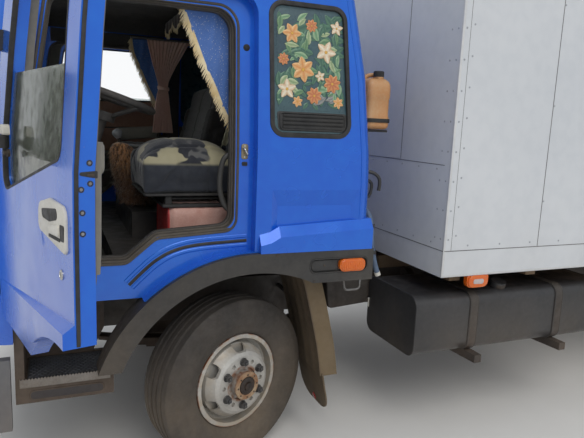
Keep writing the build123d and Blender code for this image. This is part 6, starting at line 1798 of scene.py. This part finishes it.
@dataclass(frozen=True)
class GearLever:
    """Gear lever in a fur boot, with a grey knob."""

    foot: tuple[float, float, float] = (400, 160, 1192)
    knob: tuple[float, float, float] = (515, 160, 1585)

    def build(self) -> None:
        """Make the boot, the lever and the knob."""
        fit = Fitter("cab", prefix="gear_")
        foot, knob = np.array(self.foot), np.array(self.knob)
        s = np.concatenate([[0, 0.02], np.linspace(0.05, 0.86, 60), [0.875, 0.885]])[:, None]
        turn = turns(84)[None, :]
        radius = np.interp(s, (0, 0.05, 0.3, 0.5, 0.72, 0.86, 0.885), (20, 84, 80, 72, 58, 40, 12))
        draw = np.random.default_rng(3)
        lumps = sum(draw.uniform(0.4, 1) * np.sin(a * turn + b * s * 6.3 + draw.uniform(0, 6.3))
            for a, b in ((5, 3), (9, 7), (13, 12), (21, 19), (31, 27), (17, 33)))
        radius = radius * (1 + 0.035 * lumps)
        middle = foot + (knob - foot) * s
        points = middle[:, None] + xyz(radius * np.cos(turn), radius * np.sin(turn), 0)
        boot = fit("fur_boot", tube(points), F.FUR, 80, replaces=["gear_lever"])
        self.tufts(fit, points, 5200)
        fit("lever", carried(np.stack([foot + (knob - foot) * t for t in np.linspace(0.82, 0.97, 6)]), circle(9, 12)),
            F.CHASSIS, slot="gaiter_leather")
        fit("knob", Axle(tuple(knob), tuple(knob - foot)).turned([(0, -24), (12, -24), (15, -20), (21, -12), (26.5, 0),
            (27.5, 9), (24, 18), (16, 24), (8, 26.5), (0, 27)], 28), F.KNOB, 60)

    def tufts(self, fit: Fitter, skin: Array, count: int) -> None:
        """Locks of fur: thin bent blades that stand off the boot and fall, each a strip of three steps."""
        draw = np.random.default_rng(8)
        row = draw.integers(2, len(skin) - 4, count)
        column = draw.integers(0, skin.shape[1], count)
        root = skin[row, column]
        middle = skin[row].mean(1)
        out = unit(root - middle)
        out = out + draw.normal(0, 0.35, out.shape)
        length = draw.uniform(14, 30, count)[:, None]
        side = unit(np.cross(out, [0, 0, 1]) + draw.normal(0, 0.4, out.shape))
        s = np.array([0, 0.4, 0.75, 1])
        spine = root[:, None] + out[:, None] * (length * s)[..., None] * 0.7 + [0, 0, -1] * (length * s ** 2)[...,
            None] * 0.8
        width = np.array([2.6, 2.4, 1.5, 0.15])
        left, right = spine - side[:, None] * width[:, None], spine + side[:, None] * width[:, None]
        points = np.stack([left, right], 2).reshape(-1, 3)
        start = (np.arange(count) * 8)[:, None, None]
        quads = np.array([[0, 1, 3, 2], [2, 3, 5, 4], [4, 5, 7, 6]])[None]
        fit("fur_locks", Shape(points, (start + quads).reshape(-1, 4).tolist()), F.FUR, 80, merge=False)


# Under the cab and behind it

@dataclass(frozen=True)
class Mudguards:
    """Front guards bent round the wheel with a flap, and flat rear guards."""

    front: tuple = ((-262, 946), (-290, 912), (-318, 820), (-352, 690), (-388, 540), (-412, 392))
    depth: float = 92

    def build(self) -> None:
        """Make all four guards, which stand for the CAD's."""
        for side in Side:
            fit = Fitter("chassis", Placing(side), f"mudguard_{side.word}_")
            fit("front", self.guard(), F.MUD, 40, replaces=["mudguards"] if side is Side.LEFT else ())
            fit("front_rim", self.rim(), F.MUD_LIGHT, 40)
            fit("front_flap", self.flap((-424, 405), (-478, 168), (640, 968)), F.MUD)
            slope: Lay = lambda a, b, h: xyz(np.interp(b, (168, 405), (-478, -424)) + 6 + h, a, b)
            fit("flap_reflector", slab(rounded([(762, 186, 6), (800, 176, 6), (806, 200, 6), (784, 222, 10)], 6, 3), 0,
                3, slope, 1.2), F.RED)
            fit("stay", carried(xyz(-360, np.linspace(440, 930, 12), 742), circle(13, 12), (0, 0, 1)), F.CHASSIS)
            fit("rear", self.rear_guard(), F.MUD, 40)

    def line(self, push: float = 0) -> Array:
        """The front guard's side line, pushed back by an amount."""
        return smooth_line(self.front, 34) + [-push, 0]

    def guard(self) -> Shape:
        """The front guard's sheet facing the wheel, with ribs pressed in it."""
        line = self.line()
        y = np.linspace(600, 958, 40)[None, :]
        ribs = 3 * np.cos((y - 600) / 358 * 2 * np.pi * 4)
        front = xyz(line[:, :1] + ribs * 0.6, y, line[:, 1:])
        return plate(front, front + [-6, 0, 0])

    def rim(self) -> Shape:
        """The guard's outer side: a flange that runs back from the sheet, with a rolled edge."""
        line = self.line(2)
        section = np.array([(0, 0), (0, 5), (-self.depth, 5), (-self.depth - 4, 2), (-self.depth - 4, -6),
            (-self.depth, -9), (-self.depth, 0)], float)
        return tube(xyz(line[:, 0], 952, line[:, 1])[:, None] + xyz(*section.T, 0)[None])

    def flap(self, top: tuple, bottom: tuple, y: tuple) -> Shape:
        """A hanging rubber flap with rounded lower corners and a slight curl."""
        outline = rounded([(y[0], top[1], 3), (y[1], top[1], 3), (y[1], bottom[1], 125), (y[0], bottom[1], 90)], 14, 14)
        lay: Lay = lambda a, b, h: xyz(np.interp(b, (bottom[1], top[1]), (bottom[0], top[0])) + 7
            * np.sin((b - bottom[1]) / 90) + h, a, b)
        return slab(outline, -4, 4, lay, 1.5)

    def rear_guard(self) -> Shape:
        """The rear guard's flat sheet with a rounded foot."""
        return slab(rounded([(560, 270, 45), (1090, 270, 45), (1090, 880, 20), (560, 880, 20)], 8, 16), -6, 6,
            across_x(REAR_GUARD_X), 3)


@dataclass(frozen=True)
class BehindCab:
    """Hooks on the cab's rear corner, the breather pipe, the tie loop and the can."""

    def build(self) -> None:
        """Make the pieces behind the cab."""
        fit = Fitter("cab", prefix="rear_of_cab_")
        second = smooth_line([(-588, 880, 1420), (-640, 900, 1414), (-668, 912, 1395), (-664, 915, 1350),
            (-650, 915, 1322)], 22)
        plate = slab(rect((850, 930), (1340, 1480), 12, 5, 8), -4, 6, lambda a, b, h: xyz(-594 - h, a, b), 2)
        fit("hooks", joined([carried(smooth_line([(-588, 905, 1462), (-640, 925, 1458), (-672, 940, 1446),
            (-690, 948, 1425), (-694, 950, 1395), (-690, 950, 1362)], 26), circle(9, 10)),
            carried(second, circle(8, 10))]), F.PLASTIC, 60)
        fit("hook_plate", plate, F.PLASTIC)
        pipe = smooth_line([(-596, 905, 1290), (-622, 960, 1262), (-632, 996, 1200), (-640, 1002, 1100),
            (-660, 1002, 1010), (-686, 1000, 940)], 44)
        fit("breather_pipe", carried(pipe, circle(13.5, 16)), F.HOSE, 60)
        fit("pipe_tip", carried(np.stack([pipe[-1] + (pipe[-1] - pipe[-6]) * t for t in np.linspace(-0.2, 0.25, 4)]),
            circle(15.5, 16)), F.CREAM, 60, slot="dark_plastic")
        clips = [Axle(tuple(p), (0.1, 0, -1)).turned([(13, -9), (17, -9), (17, 9), (13, 9)], 18, loop=True)
            for p in (pipe[18], pipe[30])]
        fit("pipe_clips", joined(clips + [carried([p, (p + np.array([-588, p[1] - 70, p[2] + 10])) / 2,
            [-588, p[1] - 70, p[2] + 10]], circle(5, 8), (0, 0, 1)) for p in (pipe[18] + [0, -15, 0], )]), F.CHASSIS)
        self.can()
        chassis = Fitter("chassis", prefix="behind_wheel_")
        chassis("tie_loop", carried(across_y(812)(*rounded([(-582, 905, 12), (-694, 915, 12), (-694, 800, 22),
            (-604, 800, 22)], 8, 6).T, 0), circle(6.5, 10), closed=True), F.STEEL, 60, slot="chassis_black")
        chassis("valve_housing", slab(rounded([(-560, 912, 14), (-850, 912, 20), (-850, 660, 30), (-590, 640, 30)], 8,
            14), 0, 90, across_y(560), 10), F.CHASSIS)
        chassis("loop_bracket", block((-660, -640), (648, 806), (880, 896), 5), F.CHASSIS)
        chassis("pale_tag", slab(rect((-852, -888), (690, 634), 3, 4, 4), -3, 3, across_y(652), 1), F.CREAM)
        chassis("tag_stay", block((-872, -838), (600, 651), (668, 684), 3), F.CHASSIS)

    def can(self) -> None:
        """The fuel can: pressed panels, a handle, a black cap and its bracket straps."""
        fit = Fitter("cab", prefix="can_")
        x, y, base = (-752, -612), (700, 922), 1672
        outline = rect(x, y, 32, 9, 7)
        levels = ((0, 26), (3, 13), (10, 4), (20, 0), (60, 0), (70, 4), (150, 4), (160, 0), (205, 0), (222, 2),
            (238, 10), (250, 26), (256, 44))
        rings = np.stack([across_z(base + z)(*inset(outline, amount).T, 0) for z, amount in levels])
        panel = np.exp(-((rings[..., 2] - base - 110) / 62) ** 4) * 3.5
        middle = np.array([(x[0] + x[1]) / 2, (y[0] + y[1]) / 2])
        away = rings[..., :2] - middle
        flat = np.minimum(np.abs(away[..., 0]) / 46, 1) * np.minimum(np.abs(away[..., 1]) / 80, 1)
        rings[..., :2] -= away / np.linalg.norm(away, axis=-1, keepdims=True) * (panel * (1 - flat))[..., None]
        fit("body", tube(rings), F.CAN, 50, replaces=["jerrycan"])
        neck = Axle((-700, 860, base), (0, 0, 1))
        fit("neck", neck.turned([(0, 246), (27, 246), (27, 262), (24, 264), (0, 264)], 28), F.CAN)
        teeth = np.array([(27.5 if i % 2 else 25.8) for i in range(48)])
        turn = turns(48)
        fit("cap", tube(np.stack([neck.at(teeth, turn, h) for h in (262, 288)]
            + [neck.at(r, turn, h) for r, h in ((23, 292), (20, 290))])), F.RUBBER)
        fit("handle", carried(smooth_line([(-640, 811, 1900), (-652, 811, 1934), (-682, 811, 1946), (-716, 811, 1944),
            (-738, 811, 1926), (-742, 811, 1890)], 30), circle(11, 12)), F.CAN, 60)
        fit("shelf", joined([block((-752, -560), (724, 898), (1658, 1670), 5),
            carried([(-562, 772, 1560), (-590, 772, 1600), (-640, 772, 1658)], rect((-9, 9), (-3, 3), 1, 3))]),
            F.CHASSIS)
        fit("strap", carried(across_z(1716)(*rect((x[0] - 3, x[1] + 3), (y[0] - 3, y[1] + 3), 34, 9, 8).T, 0),
            rect((-2, 2), (-10, 10), 1, 3), (0, 0, 1), closed=True), F.RUBBER, 60)


@dataclass(frozen=True)
class TankDress:
    """Rubber under the tank's straps, its cap and its seams."""

    straps: tuple[float, float] = (-1235, -1845)
    plan: tuple = ((640, 500, 60), (1120, 500, 60), (1120, 825, 60), (640, 825, 60))

    def build(self) -> None:
        """Make the tank's added pieces."""
        fit = Fitter("chassis", prefix="tank_")
        outline = rounded(self.plan, 10, 12)
        line = inset(outline, -1.5)
        fit("strap_rubbers", joined(carried(across_x(x + off)(*line.T, 0), circle(5, 8), (1, 0, 0), closed=True)
            for x in self.straps for off in (-26, 26)), F.RUBBER, 60)
        fit("end_seams", joined([carried(across_x(x)(*outline.T, 0), circle(3.2, 8, 0.8), (1, 0, 0), closed=True)
            for x in (-862, -2204)]), F.TANK, 60)
        neck = Axle((-1450, 1038, 803), (0, 0.35, 1))
        grips = 36
        turn = turns(grips)
        radius = 37 + 1.6 * (np.arange(grips) % 2)
        fit("filler_cap", tube(np.stack([neck.at(30, turn, 6), neck.at(radius, turn, 22), neck.at(radius, turn, 50),
            neck.at(radius * 0.86, turn, 57), neck.at(radius * 0.4, turn, 59)])), F.CAST, 50)
        fit("strap_bolts", joined([Axle((x, 1096, 494), (0, 0, -1)).turned([(0, -4), (11, -4), (11, 12), (0, 12)], 6)
            for x in self.straps]), F.CAST)


@dataclass(frozen=True)
class FrontDress:
    """Headlamp glass, bumper seams and a blank plate."""

    nose: float = 1265

    def build(self) -> None:
        """Make the pieces of both lamps and of the bumper."""
        for side in Side:
            fit = Fitter("chassis", Placing(side), f"headlamp_{side.word}_")
            lamp = rect((566, 800), (526, 654), 18, 8, 8)
            lay = self.on_nose()
            fit("lens", slab(lamp, -4, 5, lay, 4), F.WHITE_LENS)
            fit("ribs", joined([carried(lay(y, np.linspace(538, 642, 14), 4.6), circle(2, 6), (1, 0, 0))
                for y in np.arange(590, 790, 14)]), F.WHITE_LENS)
            fit("rim", carried(lay(*lamp.T, 1), circle(5.5, 8), (1, 0, 0), closed=True), F.RUBBER, 60)
        fit = Fitter("chassis", prefix="bumper_")
        y = np.linspace(-1000, 1000, 90)
        fit("seams", joined([carried(self.on_nose()(y, z, 0), circle(5, 8, 0.5), (0, 0, 1)) for z in (422, 684)]),
            F.BUMPER, 60)
        fit("blank_plate", slab(rect((-260, 260), (470, 582), 8, 6, 12), -1, 4, across_x(self.nose), 1.5), F.PANEL_EDGE)
        fit("plate_screws", heads([(self.nose + 4, y, 566) for y in (-180, 180)], (1, 0, 0), 5, 2.4, 12), F.STEEL)

    def on_nose(self) -> Lay:
        """Lays (y, z, height) on the bumper's face, which falls back by 30 mm from y = 500 mm to y = 940 mm."""
        def lay(a: Array, b: Array, h: Array) -> Array:
            """Place the points."""
            back = np.interp(np.abs(a), (0, 500, 940), (0, 0, 30))
            return xyz(self.nose - back + h, a, b)
        return lay


@dataclass(frozen=True)
class RearDress:
    """Tail lamps in three glasses, and hinge bolts of the box doors."""

    sill: float = -6675

    def build(self) -> None:
        """Make the pieces of both sides."""
        for side in Side:
            fit = Fitter("chassis", Placing(side), f"tail_{side.word}_")
            lay: Lay = lambda a, b, h: xyz(self.sill - h, a, b)
            for name, y, finish in (("brake", (734, 846), F.RED), ("turn", (852, 958), F.AMBER),
                    ("reverse", (964, 1066), F.WHITE_LENS)):
                fit(name, slab(rect(y, (812, 918), 12, 7, 7), -6, 8, lay, 5), finish, slot="marker_lamp")
            door = Fitter(f"box_door_{side.word}", Placing(side), f"rear_door_{side.word}_")
            door("hinge_bolts", heads([(-6729, y, z) for z in (1300, 2060, 2820) for y in (960, 1010, 1060)],
                (-1, 0, 0), 9, 5, 6), F.STEEL)


@dataclass(frozen=True)
class BoxBody:
    """Sheets, joints, rivets and lamps of the load body."""

    front: float = -974
    rear: float = -6550
    half: float = 1150
    bottom: float = 936
    top: float = 3150
    rail: float = 1074
    lamp_face: float = 1146
    seams: tuple = (-1600, -2830, -4060, -5290)

    def build(self) -> None:
        """Make both sides, the front, the roof's edge and the rear doors' rubber."""
        for side in Side:
            fit = Fitter("chassis", Placing(side), f"box_{side.word}_")
            self.flank(fit)
            self.lamps(side)
        self.front_wall()
        self.roof_edge()
        self.doors()

    def strip(self, line: Array, width: float, height: float, up: Sequence[float]) -> Shape:
        """A low flat strip with eased edges carried along a line."""
        w, h = width / 2, height
        return carried(line, np.array([(-w, -0.4), (w, -0.4), (w * 0.9, h), (-w * 0.9, h)]), up)

    def flank(self, fit: Fitter) -> None:
        """One side: upright joints and laps between sheets, the rail's and the corner's joint, rivets and a lip."""
        y = self.half
        joints = [self.strip(xyz(x, y, np.linspace(self.rail + 3, self.top - 62, 20)), 3.2, 1, (0, 1, 0))
            for x in self.seams]
        joints.append(self.strip(xyz(np.linspace(self.front - 4, self.rear, 40), y, self.rail), 4, 1.2, (0, 1, 0)))
        joints.append(self.strip(xyz(self.front - 46, y, np.linspace(self.rail, self.top - 60, 20)), 2, 0.7, (0, 1, 0)))
        fit("joints", joined(joints), F.JOINT, 60)
        fit("sheet_laps", joined([self.strip(xyz(x - 9, y, np.linspace(self.rail + 6, self.top - 64, 20)), 13, 0.8,
            (0, 1, 0)) for x in self.seams]), F.PANEL, 60)
        z = np.arange(self.rail + 60, self.top - 90, 148)
        places = [xyz(self.front - 24, y + 0.2, z), xyz(self.front - 70, y + 0.2, z + 20)]
        x = np.arange(self.front - 150, self.rear + 60, -210)
        places += [xyz(x, y + 0.2, self.rail + 26), xyz(x, y + 0.2, self.top - 84)]
        places += [xyz(at - 8, y + 0.9, np.linspace(self.rail + 250, self.top - 300, 4)) for at in self.seams]
        fit("rivets", heads(np.concatenate(places), (0, 1, 0), 5.5, 1.8, 8), F.RIVET)
        fit("rail_lip", block((self.rear + 4, self.front - 2), (y - 0.5, y + 2), (self.bottom + 2, self.bottom + 12),
            1.5), F.PANEL_EDGE)

    def lamps(self, side: Side) -> None:
        """Oval marker lamps with a white bar behind their lens."""
        fit = Fitter("chassis", Placing(side), f"lamps_{side.word}_")
        spots, lay = (-1215, -3000, -5200, -6350), across_y(self.lamp_face)
        fit("markers", joined(slab(rect((x - 64, x + 64), (868, 936), 33, 10, 5), -4, 9, lay, 7) for x in spots),
            F.AMBER, slot="marker_lamp")
        fit("marker_bars", joined(slab(rect((x - 34, x + 34), (889, 916), 12, 8, 4), 8, 10.6, lay, 1.2) for x in spots),
            F.WHITE_LENS)

    def front_wall(self) -> None:
        """Front wall: one upright joint either side of the middle down to a level edge, corner strips, rivets."""
        fit = Fitter("chassis", prefix="box_front_")
        x = self.front
        up = (1, 0, 0)
        joints = [self.strip(xyz(x, y, np.linspace(1512, self.top - 58, 20)), 4, 1.2, up) for y in (700, -700)]
        joints += [self.strip(xyz(x, np.linspace(-1100, 1100, 30), 1508), 3.4, 1, up),
            self.strip(xyz(x, np.linspace(-1148, 1148, 30), self.rail), 4, 1.2, up)]
        fit("joints", joined(joints), F.JOINT, 60)
        fit("bright_edge", joined([self.strip(xyz(x, np.linspace(s * 560, s * 700, 6), 1516), 9, 1.6, up)
            for s in (1, -1)]), F.PANEL_EDGE, 60)
        z = np.arange(self.rail + 60, self.top - 90, 148)
        places = [xyz(x + 0.2, y, z) for y in (-1118, 1118, -1070, 1070)]
        y = np.arange(-1040, 1041, 160)
        places += [xyz(x + 0.2, y, level) for level in (1104, 1486, 3066)]
        fit("rivets", heads(np.concatenate(places), (1, 0, 0), 5.5, 1.8, 8), F.RIVET)
        for side in Side:
            corner = Fitter("chassis", Placing(side), f"box_corner_{side.word}_")
            z = np.linspace(self.bottom + 2, self.top - 2, 30)
            corner("moulding", carried(xyz(x - 6, self.half - 6, z), rect((-7, 7), (-7, 7), 3, 4), (1, 0, 0)),
                F.PANEL_EDGE, 50)

    def roof_edge(self) -> None:
        """A folded cap along the roof's edges."""
        fit = Fitter("chassis", prefix="box_roof_")
        x0, x1, y = self.rear - 128, self.front, self.half
        line = rect((x0, x1), (-y, y), 8, 4, 60)
        fit("edge_cap", carried(np.concatenate([line, np.full((len(line), 1), self.top - 30)], 1),
            rect((-1.5, 1.5), (-27, 27), 1, 3), (0, 0, 1), closed=True), F.PANEL_EDGE, 50)

    def doors(self) -> None:
        """Rubber round each rear door."""
        for side in Side:
            door = Fitter(f"box_door_{side.word}", Placing(side), f"rear_door_{side.word}_")
            door("gasket", carried(across_x(REAR_DOOR_X)(*rect((18, 1134), (968, 3074), 12, 5, 24).T, 0),
                rect((-4, 4), (-8, 8), 2, 3), (1, 0, 0), closed=True), F.RUBBER, 50)


def main() -> None:
    """Build the truck's looks in order."""
    logging.basicConfig(level=logging.INFO, format="%(message)s")
    Studio().build()
    FrameDress().build()
    for wheel in WHEELS:
        wheel.build()
    for side in Side:
        CabSide(side).build()
        Door(side).build()
        DoorCurtains(side).build()
        Step(side).build()
    Lining().build()
    Valance().build()
    Seat("driver", "driver_seat", (310, 820), 1596, 2036, (470, 816), F.SEAT, F.LEATHERETTE, 1, 88, 262).build()
    Seat("passenger", "passenger_seat", (-890, -120), 1500, 1956, (-850, -440), F.BENCH, F.BENCH, 2).build()
    Bunk().build()
    GearLever().build()
    Mudguards().build()
    BehindCab().build()
    TankDress().build()
    BoxBody().build()
    FrontDress().build()
    RearDress().build()


if __name__ == "__main__":
    main()
